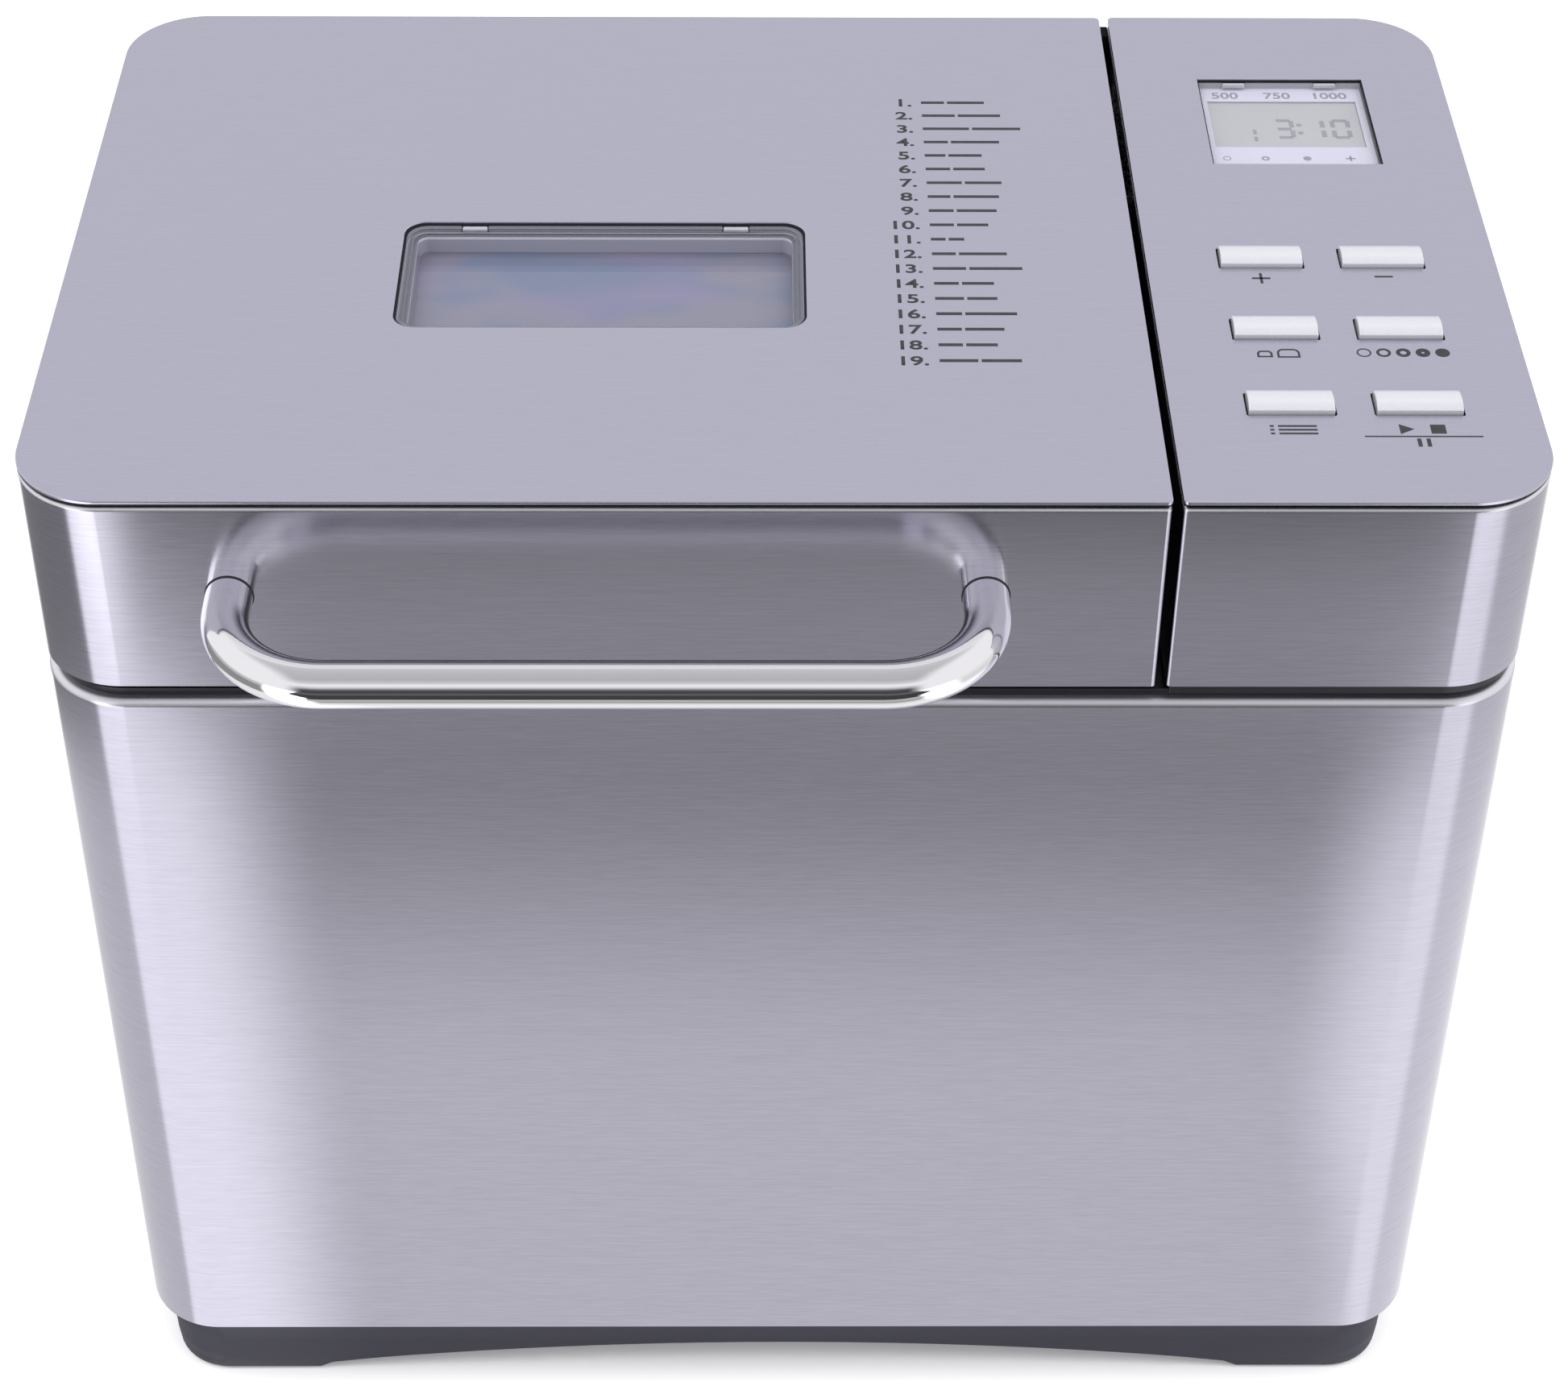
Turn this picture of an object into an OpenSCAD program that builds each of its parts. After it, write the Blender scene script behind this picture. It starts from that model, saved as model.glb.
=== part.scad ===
/* [Body] */
// Overall width across the steel sides
body_w = 360; // [350:1:400]
// Depth of the housing from front face to rear face
body_d = 226; // [222:1:250]
// Height of the top plates above the table
body_h = 318; // [312:1:340]
// Radius of the four corners seen from above
corner_r = 21; // [18:1:26]
// Thickness of the steel skins
sheet = 0.8; // [0.6:0.1:1]
// Height of the lower edge of the steel wrap
wrap_z = 25; // [24:1:28]
// Height of lid and panel above the upper edge of the steel wrap
lid_h = 60; // [58:1:64]
// Radius of the rolled edges
roll_r = 2; // [1.5:0.1:2.5]
// Width of the steel left at each side of the rear panel's opening
rear_edge = 32; // [30:1:50]

/* [Base] */
// Inset of the base below the steel
base_inset = 3.8; // [3:0.1:5]
// Wall of the plastic mouldings
plastic_t = 2.5; // [2:0.1:3]
// Height of the base floor
base_floor_z = 15; // [14.5:0.5:16]
// Length of a corner foot along the front
foot_len = 42; // [36:1:50]
// Height of the arch at the middle of each side
arch_h = 12.9; // [8:0.1:13]
// Step from a foot up to the arch
arch_step = 4.1; // [3:0.1:5]
// Radius of a rubber pad
pad_r = 8; // [6:0.5:9]

/* [Lid and panel] */
// Width of the control panel
panel_w = 88.4; // [84:0.2:96]
// Gap between lid and control panel
lid_gap = 2.4; // [2:0.1:3]
// Dark recess between steel wrap and lid skirt
band_h = 4.8; // [4.6:0.1:6]
// Thickness of the top plates
plate_t = 1.4; // [1:0.1:2]
// Groove under a top plate
groove_h = 0.6; // [0.4:0.1:1]
// Corner radius of lid and panel at their gap
edge_r = 1.4; // [1.3:0.1:2]
// Radius of the rolled upper edge of the two skirts
skirt_roll = 1; // [0.9:0.1:1.2]
// Distance of the hinge axis from the rear face
hinge_inset = 6; // [5.8:0.1:6.4]
// Height of the hinge axis above the skirt's lower edge
hinge_rise = 7.2; // [6.8:0.1:7.4]
// Radius of a hinge pin
hinge_pin_r = 2; // [1.5:0.1:2.4]
// Width of a hinge ear
hinge_ear_w = 14; // [12:1:18]
// Distance between the two hinges
hinge_span = 180; // [150:2:200]

/* [Handle] */
// Distance that the handle stands out in front
handle_reach = 38; // [34:1:46]
// Radius of the handle tube
handle_r = 5.6; // [5:0.1:6.5]
// Distance between the two legs of the handle
handle_span = 177.5; // [150:0.5:190]
// Bend radius of the handle along its centre line
handle_bend = 25; // [15:1:27]
// Height of the handle above the lid skirt's lower edge
handle_rise = 27.7; // [20:0.1:32]

/* [Windows and buttons] */
// Width of the lid window
window_w = 101.6; // [80:0.2:120]
// Depth of the lid window
window_d = 47.4; // [36:0.2:60]
// Corner radius of the lid window
window_r = 5.5; // [3:0.1:8]
// Distance of the window centre from the front face
window_y = 95.3; // [90:0.1:110]
// Width of the display window
display_w = 44.8; // [36:0.2:50]
// Depth of the display window
display_d = 43.8; // [36:0.2:46]
// Distance of the display centre from the front face
display_y = 170.1; // [165:0.1:175]
// Width of a button
button_w = 20.6; // [16:0.1:24]
// Depth of a button
button_d = 8.4; // [7:0.1:10]
// Distance between the two button columns
button_dx = 30.6; // [28:0.1:34]
// Distance between button rows
button_dy = 31.8; // [26:0.1:34]
// Distance of the front button row from the front face
button_y = 39.1; // [30:0.1:50]
// Height of a button above its plate
button_rise = 2.2; // [1.6:0.1:3]
// Travel of a button
button_travel = 1.2; // [0.8:0.1:1.4]

/* [Chamber and pan] */
// Distance from the lid's sides to the inside of the baking chamber
chamber_side = 26.6; // [24:0.1:30]
// Corner radius inside the chamber
chamber_r = 25; // [20:1:30]
// Height of the chamber's underside
chamber_z = 74; // [72:1:76]
// Distance from the front face to the chamber
chamber_front = 21; // [18:1:24]
// Distance from the rear face to the chamber
chamber_rear = 39; // [36:1:42]
// Gap between the bread pan's rim and the chamber wall
pan_room = 18; // [17:0.5:20]
// Corner radius of the bread pan
pan_r = 22; // [18:1:26]
// Depth of the bread pan's rim below the deck
pan_drop = 14; // [13:0.5:20]
// Clear height from chamber floor to the pan
pan_lift = 20.2; // [20:0.1:22]
// Draft of the pan walls from rim to floor
pan_draft = 2; // [1:0.5:4]
// Wall of the bread pan
pan_t = 1.5; // [1.2:0.1:2]
// Radius of the bail wire
bail_r = 2; // [1.5:0.1:2.2]

/* [Drive] */
// Radius of the drive shaft, the pan shaft and the motor shaft
shaft_r = 4; // [3.5:0.1:4.5]
// Pitch of the belt teeth
tooth_pitch = 5; // [4.8:0.1:5.2]
// Teeth on the large pulley, a multiple of four
large_teeth = 60; // [52:4:60]
// Teeth on the small pulley, a multiple of four
small_teeth = 12; // [12:4:16]
// Distance from the right side to the motor shaft, before the belt is chosen
motor_side = 49.6; // [48:0.2:56]
// Depth of a belt tooth
tooth_h = 1.3; // [1:0.1:1.5]
// Width of the belt
belt_w = 9; // [7:0.5:9]
// Height of the pulleys' underside
pulley_z = 30; // [29:0.5:32]
// Radius of the heating element's tube
element_r = 3.2; // [2.5:0.1:3.5]

/* [Hidden] */
$fn = 96;

// Colours
steel = [0.72, 0.71, 0.76];
bright = [0.85, 0.85, 0.87];
slate = [0.28, 0.28, 0.32];
black = [0.08, 0.08, 0.09];
cast = [0.66, 0.66, 0.66];
copper = [0.72, 0.42, 0.22];
board = [0.12, 0.36, 0.2];
coated = [0.2, 0.2, 0.21];

// Clearances
seat = 0.3;        // between a piece and what carries it
slide_fit = 0.35;  // round a button in its hole
run = 0.06;        // radial, round a turning shaft
snug = 0.02;       // radial, round a fixed pin or bush
past = 1;          // overrun of a cutting tool

// Plan of the housing, with the origin under the middle of housing and handle together
side = body_w / 2;
front = -(body_d - handle_reach) / 2;
rear = front + body_d;
panel_x = side - panel_w;
lid_x = panel_x - lid_gap;
lid_mid = (lid_x - side) / 2;
lid_w = lid_x + side;
rear_open_w = body_w - 2 * rear_edge;
panel_mid = (panel_x + side) / 2;

// Levels
wrap_top = body_h - lid_h;
skirt_z = wrap_top + band_h;
plate_z = body_h - plate_t;
skirt_top = plate_z - groove_h;
deck_t = 4;
deck_rise = 2;
deck_top = wrap_top + deck_rise;
deck_z = wrap_top - deck_t;
web_t = 2;
web_top = skirt_top - sheet - 0.2;
web_z = web_top - web_t;
hinge_y = rear - hinge_inset;
hinge_z = skirt_z + hinge_rise;
ear_r = 4.2;
lip = 3;           // inward flange of a rolled edge
rim_inset = 3.2;   // from the outline to the deck's raised rim
power_y = rear - 30;
power_z = base_floor_z + plastic_t + 11;
ribbon_y = power_y - 1;

// Chamber, pan and drive
chamber_x = lid_mid;
chamber_w = lid_w - 2 * chamber_side;
chamber_d = body_d - chamber_front - chamber_rear;
pan_w = chamber_w - 2 * pan_room;
pan_d = chamber_d - 2 * pan_room;
chamber_y = front + chamber_front + chamber_d / 2;
chamber_floor = chamber_z + sheet;
pan_z = chamber_floor + pan_lift;
pan_floor = pan_z + 2;
pan_top = deck_z - pan_drop;
pan_h = pan_top - pan_z;
liner_edge = 4;
liner_z = skirt_z + 0.1;
liner_top = web_z - 17.1;  // room for the window's two panes
liner_h = liner_top - liner_z;
glass_t = 3;
pulley_h = belt_w + 3;
bracket_z = pulley_z + pulley_h + 4;
bracket_t = 2;
bracket_top = bracket_z + bracket_t;
large_r = large_teeth * tooth_pitch / (2 * PI);
small_r = small_teeth * tooth_pitch / (2 * PI);
span_wish = side - motor_side - chamber_x;
// The belt has the even number of teeth that comes nearest to the wished distance between the shafts
belt_teeth = 2 * round((2 * span_wish + PI * (large_r + small_r) + pow(large_r - small_r, 2) / span_wish)
                       / (2 * tooth_pitch));
belt_len = belt_teeth * tooth_pitch;
belt_b = belt_len - PI * (large_r + small_r);
drive_span = (belt_b + sqrt(belt_b * belt_b - 8 * pow(large_r - small_r, 2))) / 4;
motor_x = chamber_x + drive_span;
motor_y = chamber_y;
belt_clear = 0.3;
belt_back = 1.4;

// Points of an arc
function arc(cx, cy, r, a0, a1, n) = [for (i = [0:n]) let (a = a0 + (a1 - a0) * i / n) [cx + r * cos(a), cy + r * sin(a)]];

// Rounded rectangle between two corners, with its own radius on the left and on the right
module plan(x0, x1, y0, y1, rl, rr) {
    translate([x0 + rl, y0]) square([x1 - x0 - rl - rr, y1 - y0]);
    translate([x0, y0 + rl]) square([rl, y1 - y0 - 2 * rl]);
    translate([x1 - rr, y0 + rr]) square([rr, y1 - y0 - 2 * rr]);
    for (y = [y0 + rl, y1 - rl]) translate([x0 + rl, y]) circle(rl);
    for (y = [y0 + rr, y1 - rr]) translate([x1 - rr, y]) circle(rr);
}

// Rounded rectangle about a centre
module centred(x, y, w, d, r) { plan(x - w / 2, x + w / 2, y - d / 2, y + d / 2, r, r); }

// Sweeps a profile round a rounded rectangle: profile x is the inset from the outline, y is the height
module sweep(x0, x1, y0, y1, rl, rr) {
    translate([x0 + rl, y0, 0]) rotate([90, 0, 90]) linear_extrude(x1 - x0 - rl - rr) children();
    translate([x1 - rr, y1, 0]) rotate([90, 0, -90]) linear_extrude(x1 - x0 - rl - rr) children();
    translate([x0, y1 - rl, 0]) rotate([90, 0, 0]) linear_extrude(y1 - y0 - 2 * rl) children();
    translate([x1, y0 + rr, 0]) rotate([90, 0, 180]) linear_extrude(y1 - y0 - 2 * rr) children();
    for (c = [[x0 + rl, y0 + rl, 180, rl], [x1 - rr, y0 + rr, 270, rr], [x1 - rr, y1 - rr, 0, rr],
              [x0 + rl, y1 - rl, 90, rl]])
        translate([c[0], c[1], 0]) rotate(c[2]) rotate_extrude(angle = 90)
            translate([c[3], 0]) mirror([1, 0]) children();
}

module body_plan(i) { plan(-side + i, side - i, front + i, rear - i, corner_r - i, corner_r - i); }
module lid_plan(i) { plan(-side + i, lid_x - i, front + i, rear - i, corner_r - i, max(edge_r - i, 0.4)); }
module panel_plan(i) { plan(panel_x + i, side - i, front + i, rear - i, max(edge_r - i, 0.4), corner_r - i); }

// Steel edge rolled inwards over a quarter turn of radius r, then a flat flange; its top is at height r
module rolled_edge(r, flange) {
    polygon(concat(arc(r, 0, r, 180, 90, 8), [[r + flange, r], [r + flange, r - sheet]],
                   arc(r, 0, r - sheet, 90, 180, 8)));
}

// Countersunk or pan-head screw pointing up, its head's underside at the origin
module screw(r, length) {
    cylinder(r = r, h = length);
    translate([0, 0, -0.55 * 2 * r]) difference() {
        cylinder(r = 2 * r, h = 0.55 * 2 * r);
        translate([0, 0, -past]) cylinder(r = 0.7 * r, h = past + 0.35 * 2 * r, $fn = 6);
    }
}

// ---- Base ----
base_profile = [[base_inset, wrap_z + 0.3], [base_inset + 0.4, 14], [base_inset + 1.4, 6], [base_inset + 3.2, 2.4],
                [base_inset + 5.6, 0.6], [base_inset + 7.6, 0.6], [base_inset + 5.4, 3.2], [base_inset + 3.8, 6.4],
                [base_inset + plastic_t + 0.4, 14], [base_inset + plastic_t, wrap_z + 0.3]];
arch_half_x = side - foot_len;
arch_half_y = body_d / 2 - foot_len;
ramp = 9;
// Underside opening between two feet: a short ramp at each end and a shallow arc between
module arch(half) {
    rise = arch_h - arch_step;
    chord = half - ramp;
    r = (chord * chord + rise * rise) / (2 * rise);
    a = asin(chord / r);
    polygon(concat([[-half, -past], [-half, 0]], arc(0, arch_h - r, r, 90 + a, 90 - a, 24), [[half, 0], [half, -past]]));
}
feet = [for (x = [-1, 1]) for (y = [front + 25, rear - 25]) [x * (side - 25), y]];
posts = [for (x = [chamber_x - 58, motor_x + 30]) for (y = [-48, 48]) [x, chamber_y + y]];
base_vent_x = motor_x - 10;
rib_y = chamber_d / 2 - 17;
rib_in = 20;
module base() {
    color(slate) difference() {
        union() {
            sweep(-side, side, front, rear, corner_r, corner_r) polygon(base_profile);
            // Shoulder and upright lip inside the steel wrap
            translate([0, 0, wrap_z + 0.3]) linear_extrude(2) difference() {
                body_plan(sheet + seat);
                body_plan(base_inset + plastic_t);
            }
            translate([0, 0, wrap_z + 2.3]) linear_extrude(9) difference() {
                body_plan(sheet + seat);
                body_plan(sheet + seat + plastic_t);
            }
            translate([0, 0, base_floor_z]) linear_extrude(plastic_t) body_plan(base_inset + 1.5);
            // Cups that hold the rubber pads
            for (f = feet) translate([f[0], f[1], 2]) difference() {
                cylinder(r = pad_r + 2.2, h = base_floor_z - 1.5);
                translate([0, 0, -past]) cylinder(r = pad_r + 0.1, h = 5 + past);
            }
            // Posts under the drive bracket
            for (p = posts) translate([p[0], p[1], base_floor_z]) cylinder(r = 5.5, h = bracket_z - base_floor_z);
            // Stiffening ribs of the floor; the front one stops short of the capacitor
            for (r = [[-rib_y, capacitor_x - capacitor_r - 6], [rib_y, side - rib_in]])
                translate([-side + rib_in, chamber_y + r[0], base_floor_z]) cube([r[1] + side - rib_in, 2, 9]);
        }
        translate([0, rear + past, 0]) rotate([90, 0, 0]) linear_extrude(body_d + 2 * past) arch(arch_half_x);
        translate([-side - past, (front + rear) / 2, 0]) rotate([90, 0, 90]) linear_extrude(body_w + 2 * past)
            arch(arch_half_y);
        // Air slots under the motor
        for (i = [-4:4]) translate([base_vent_x - 22, motor_y + i * 8 - 1.5, base_floor_z - past])
            cube([44, 3, plastic_t + 2 * past]);
        for (p = posts) translate([p[0], p[1], base_floor_z - past]) cylinder(r = 2 + snug, h = bracket_z);
    }
}

module rubber_feet() {
    color(black) for (f = feet) translate([f[0], f[1], 0]) {
        cylinder(r = pad_r - 1, h = 0.8);
        translate([0, 0, 0.8]) cylinder(r = pad_r, h = 6.2 - seat);
    }
}

// ---- Steel wrap, rear panel and deck ----
module body_wrap() {
    color(steel) difference() {
        union() {
            translate([0, 0, wrap_z]) linear_extrude(wrap_top - roll_r - wrap_z) difference() {
                body_plan(0);
                body_plan(sheet);
            }
            translate([0, 0, wrap_top - roll_r]) sweep(-side, side, front, rear, corner_r, corner_r)
                rolled_edge(roll_r, lip);
        }
        translate([-rear_open_w / 2, rear - 2 * roll_r - lip, wrap_z + 8]) cube([rear_open_w, 20, wrap_top]);
    }
}

rear_lap = 6;
vent_rows = 9;
vent_cols = 3;
gland_x = rear_open_w / 2 - 30;
gland_z = wrap_z + 23;
rear_screw_l = 6;
rear_screw_at = [for (x = [-1, 1]) for (z = [wrap_z + 22, (wrap_z + wrap_top) / 2, wrap_top - 20])
                 [x * (rear_open_w / 2 - 8), z]];
rear_t = 2;
rear_face = rear - 1.8;
// Plastic panel behind the steel edges, with louvres over the warm side
module rear_panel() {
    color(slate) difference() {
        translate([-rear_open_w / 2 - rear_lap, rear_face - rear_t, wrap_z + 12])
            cube([rear_open_w + 2 * rear_lap, rear_t, wrap_top - roll_r - sheet - seat - wrap_z - 12]);
        for (c = [0:vent_cols - 1]) for (r = [0:vent_rows - 1])
            translate([-100 + c * 70, rear - 5, wrap_top - 30 - r * 9]) cube([58, 8, 3]);
        translate([gland_x, rear + past, gland_z]) rotate([90, 0, 0]) cylinder(r = 8 + snug, h = 10);
        for (s = rear_screw_at) translate([s[0], rear + past, s[1]]) rotate([90, 0, 0]) cylinder(r = 1.6, h = 10);
    }
}

// Screws that hold the drive bracket to the base and the rear panel to the body
module housing_screws() {
    color(bright) {
        for (p = posts) translate([p[0], p[1], base_floor_z]) screw(2, bracket_top - base_floor_z + 4);
        for (s = rear_screw_at) translate([s[0], rear_face, s[1]]) rotate([90, 0, 0]) screw(1.5, rear_screw_l);
    }
}

// Bush in the rear panel where a mains lead would enter
module cable_gland() {
    color(black) translate([gland_x, rear, gland_z]) rotate([90, 0, 0]) difference() {
        union() {
            cylinder(r = 10.5, h = rear - rear_face);
            cylinder(r = 8, h = 8.5);
            translate([0, 0, rear - rear_face + rear_t]) cylinder(r = 9.5, h = 3);
        }
        translate([0, 0, -past]) cylinder(r = 3.8, h = 14);
    }
}

cable_slot = [24, 8];
ribbon_x = panel_mid - 6;
hinge_xs = [lid_mid - hinge_span / 2, lid_mid + hinge_span / 2];
// Black moulding that closes the top of the housing and carries lid and panel
module deck() {
    color(black) difference() {
        union() {
            translate([0, 0, deck_z]) linear_extrude(deck_t) body_plan(roll_r + lip + seat);
            translate([0, 0, wrap_top]) linear_extrude(deck_rise) body_plan(roll_r + 0.6);
            // Raised rim under the lid skirt, left open at the back for the lid to swing
            translate([0, 0, deck_top]) linear_extrude(skirt_z - deck_top - 0.5) difference() {
                lid_plan(rim_inset);
                lid_plan(rim_inset + 2.3);
                translate([-side, rear - 20]) square([body_w, 30]);
            }
            for (x = hinge_xs) translate([x - hinge_ear_w / 2, hinge_y, 0]) {
                translate([0, 0, hinge_z]) rotate([0, 90, 0]) cylinder(r = ear_r, h = hinge_ear_w);
                translate([0, -ear_r + 0.5, wrap_top]) cube([hinge_ear_w, 2 * ear_r - 1, hinge_z - wrap_top]);
            }
        }
        translate([0, 0, deck_z - past]) linear_extrude(deck_t + deck_rise + 2 * past)
            centred(chamber_x, chamber_y, chamber_w, chamber_d, chamber_r);
        // Opening under the panel for air and wiring
        translate([0, 0, deck_z - past]) linear_extrude(deck_t + deck_rise + 2 * past)
            centred(panel_mid, chamber_y, 56, 120, 6);
        translate([ribbon_x - cable_slot[0] / 2, ribbon_y - cable_slot[1] / 2, deck_z - past])
            cube([cable_slot[0], cable_slot[1], deck_t + deck_rise + 2 * past]);
        for (x = hinge_xs) translate([x - hinge_ear_w / 2 - past, hinge_y, hinge_z]) rotate([0, 90, 0])
            cylinder(r = hinge_pin_r + run, h = hinge_ear_w + 2 * past);
    }
}

// ---- Baking chamber and what it holds ----
element_in = 9;                       // element's centre line from the chamber wall
element_z = chamber_floor + 17;
element_bend = 20;
terminal_bend = 10;
terminal_y = 12;
spacer_at = [for (x = [-50, 50]) for (y = [-42, 42]) [chamber_x + x, chamber_y + y]];
sensor_z = chamber_floor + 56;
seat_r = 33.5;                        // inside of the pan seat ring
clip_z = chamber_floor + 60;
module baking_chamber() {
    color(cast) difference() {
        union() {
            translate([0, 0, chamber_z]) linear_extrude(deck_z - chamber_z)
                centred(chamber_x, chamber_y, chamber_w + 2 * sheet, chamber_d + 2 * sheet, chamber_r + sheet);
            translate([0, 0, deck_z - sheet]) linear_extrude(sheet)
                centred(chamber_x, chamber_y, chamber_w + 20, chamber_d + 20, chamber_r + 10);
        }
        translate([0, 0, chamber_floor]) linear_extrude(deck_z)
            centred(chamber_x, chamber_y, chamber_w, chamber_d, chamber_r);
        translate([chamber_x, chamber_y, chamber_z - past]) cylinder(r = shaft_r + 4, h = 4);
        for (y = [-terminal_y, terminal_y]) translate([chamber_x, chamber_y + y, element_z]) rotate([0, 90, 0])
            cylinder(r = element_r + 1.2, h = chamber_w);
        translate([chamber_x, chamber_y + 40, sensor_z]) rotate([0, 90, 0]) cylinder(r = 3 + snug, h = chamber_w);
        for (s = spacer_at) translate([s[0], s[1], chamber_z - past]) cylinder(r = 2 + snug, h = 4);
    }
}

module chamber_spacers() {
    color(bright) for (s = spacer_at) translate([s[0], s[1], bracket_top]) {
        cylinder(r = 4.5, h = chamber_z - bracket_top);
        cylinder(r = 2, h = chamber_floor + 1 - bracket_top);
        translate([0, 0, chamber_floor - bracket_top]) cylinder(r = 4, h = 2.5, $fn = 6);
    }
}

// One quarter bend of a round rod about a centre, starting at angle a
module bend(x, y, r, a, rod) {
    translate([x, y, 0]) rotate(a) rotate_extrude(angle = 90) translate([r, 0]) circle(rod);
}
module rod_x(x0, x1, y, rod) { translate([x0, y, 0]) rotate([0, 90, 0]) cylinder(r = rod, h = x1 - x0); }
module rod_y(x, y0, y1, rod) { translate([x, y1, 0]) rotate([90, 0, 0]) cylinder(r = rod, h = y1 - y0); }

module element_path(rod) {
    ex = chamber_w / 2 - element_in;
    ey = chamber_d / 2 - element_in;
    b = element_bend;
    end_y = terminal_y + terminal_bend;
    rod_x(-ex + b, ex - b, -ey, rod);
    rod_x(-ex + b, ex - b, ey, rod);
    rod_y(-ex, -ey + b, ey - b, rod);
    for (s = [[-1, -1, 180], [1, -1, 270], [1, 1, 0], [-1, 1, 90]])
        bend(s[0] * (ex - b), s[1] * (ey - b), b, s[2], rod);
    rod_y(ex, -ey + b, -end_y, rod);
    rod_y(ex, end_y, ey - b, rod);
    bend(ex + terminal_bend, -end_y, terminal_bend, 90, rod);
    bend(ex + terminal_bend, end_y, terminal_bend, 180, rod);
    for (y = [-terminal_y, terminal_y]) rod_x(ex + terminal_bend, ex + terminal_bend + 10, y, rod);
}

module heating_element() {
    color(coated) translate([chamber_x, chamber_y, element_z]) {
        element_path(element_r);
        // Terminal blades outside the chamber
        for (y = [-terminal_y, terminal_y])
            translate([chamber_w / 2 - element_in + terminal_bend + 9, y - 3, -0.4]) cube([10, 6, 0.8]);
    }
}

module element_clips() {
    clip_y = chamber_d / 2 - element_in;
    color(bright) translate([chamber_x, chamber_y, chamber_floor]) for (x = [-45, 45]) for (s = [-1, 1])
        translate([x, s * clip_y, 0]) difference() {
            union() {
                translate([-4, -0.6, 0]) cube([8, 1.2, element_z - chamber_floor]);
                translate([-4, -0.6 - (s < 0 ? 7 : 0), 0]) cube([8, 8.2, 1]);
                translate([-4, 0, element_z - chamber_floor]) rotate([0, 90, 0]) cylinder(r = element_r + 1, h = 8);
            }
            translate([-5, 0, element_z - chamber_floor]) rotate([0, 90, 0]) cylinder(r = element_r + snug, h = 10);
            translate([-5, -10, element_z - chamber_floor + 1.5]) cube([10, 20, 10]);
        }
}

module temperature_sensor() {
    color(bright) translate([chamber_x + chamber_w / 2, chamber_y + 40, sensor_z]) rotate([0, 90, 0]) {
        translate([0, 0, -9]) cylinder(r = 3, h = 14);
        translate([0, 0, -9]) sphere(3);
        translate([0, 0, sheet]) cylinder(r = 6, h = 2);
        translate([0, 0, 5]) cylinder(r = 2, h = 6);
    }
}

// Cast ring on the chamber floor that centres the bread pan
module pan_seat() {
    color(cast) translate([chamber_x, chamber_y, chamber_floor]) difference() {
        union() {
            cylinder(r = seat_r + 2.5, h = 10);
            cylinder(r = seat_r + 5.5, h = 2);
        }
        translate([0, 0, -past]) cylinder(r = seat_r, h = 12);
        translate([0, 0, 5.5]) for (a = [0, 90]) rotate(a) translate([-50, -7, 0]) cube([100, 14, 10]);
    }
}

// Leaf springs on the long walls: they bow towards the pan and hold it down
module pan_clips() {
    leaf_t = 0.8;
    bow_to = pan_d / 2 - pan_draft * (pan_top - clip_z - 25) / pan_h + seat;
    bow = chamber_d / 2 - bow_to;
    half = 25;
    r = (half * half + bow * bow) / (2 * bow);
    a = asin(half / r);
    a_in = acos((r - bow) / (r - leaf_t));
    color(bright) for (s = [0, 1]) translate([chamber_x, chamber_y, clip_z + half]) mirror([0, s, 0])
        translate([-10, bow_to, 0]) rotate([90, 0, 90]) linear_extrude(20) {
            polygon(concat(arc(r, 0, r, 180 - a, 180 + a, 24), arc(r, 0, r - leaf_t, 180 + a_in, 180 - a_in, 24)));
            // Feet that lie on the wall
            for (z = [half - 1, -half - 8]) translate([bow - leaf_t, z]) square([leaf_t, 9]);
        }
}

// ---- Drive: bracket, bearing, shaft, pulleys, belt and motor ----
housing_r = 6 + 3;
bush_r = shaft_r + 2;
plate_margin = 10;
module drive_bracket() {
    x0 = posts[0][0] - plate_margin;
    x1 = posts[3][0] + plate_margin;
    y0 = posts[0][1] - plate_margin;
    y1 = posts[3][1] + plate_margin;
    color(steel) difference() {
        union() {
            translate([0, 0, bracket_z]) linear_extrude(bracket_t) plan(x0, x1, y0, y1, 8, 8);
            // Folded edges that stiffen the plate
            for (y = [y0, y1 - bracket_t]) translate([x0 + 12, y, bracket_z - 8]) cube([x1 - x0 - 24, bracket_t, 9]);
        }
        translate([chamber_x, chamber_y, bracket_z - past]) cylinder(r = housing_r + snug, h = 5);
        translate([motor_x, motor_y, bracket_z - past]) cylinder(r = 14, h = 5);
        for (p = posts) translate([p[0], p[1], bracket_z - past]) cylinder(r = 2 + snug, h = 5);
        for (x = motor_screw_x) for (y = motor_screw_y) translate([motor_x + x, motor_y + y, bracket_z - past])
            cylinder(r = 2 + snug, h = 5);
        // Lightening holes
        for (x = [0.38, 0.52]) translate([chamber_x + drive_span * x, chamber_y, bracket_z - past])
            cylinder(r = 9, h = 5);
    }
}

bearing_h = chamber_z - 4 - bracket_top;
module bearing_housing() {
    color(cast) translate([chamber_x, chamber_y, bracket_z - 1]) difference() {
        union() {
            cylinder(r = housing_r, h = bearing_h + bracket_t + 1);
            translate([0, 0, bracket_t + 1]) cylinder(r = 24, h = 3);
            for (a = [30:60:330]) rotate(a) translate([housing_r - 1, 1.2, bracket_t + 2]) rotate([90, 0, 0])
                linear_extrude(2.4) polygon([[0, 0], [11, 0], [11, 2.5], [2, bearing_h - 3], [0, bearing_h - 3]]);
        }
        translate([0, 0, -past]) cylinder(r = bush_r + snug, h = bearing_h + 10);
    }
}

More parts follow.
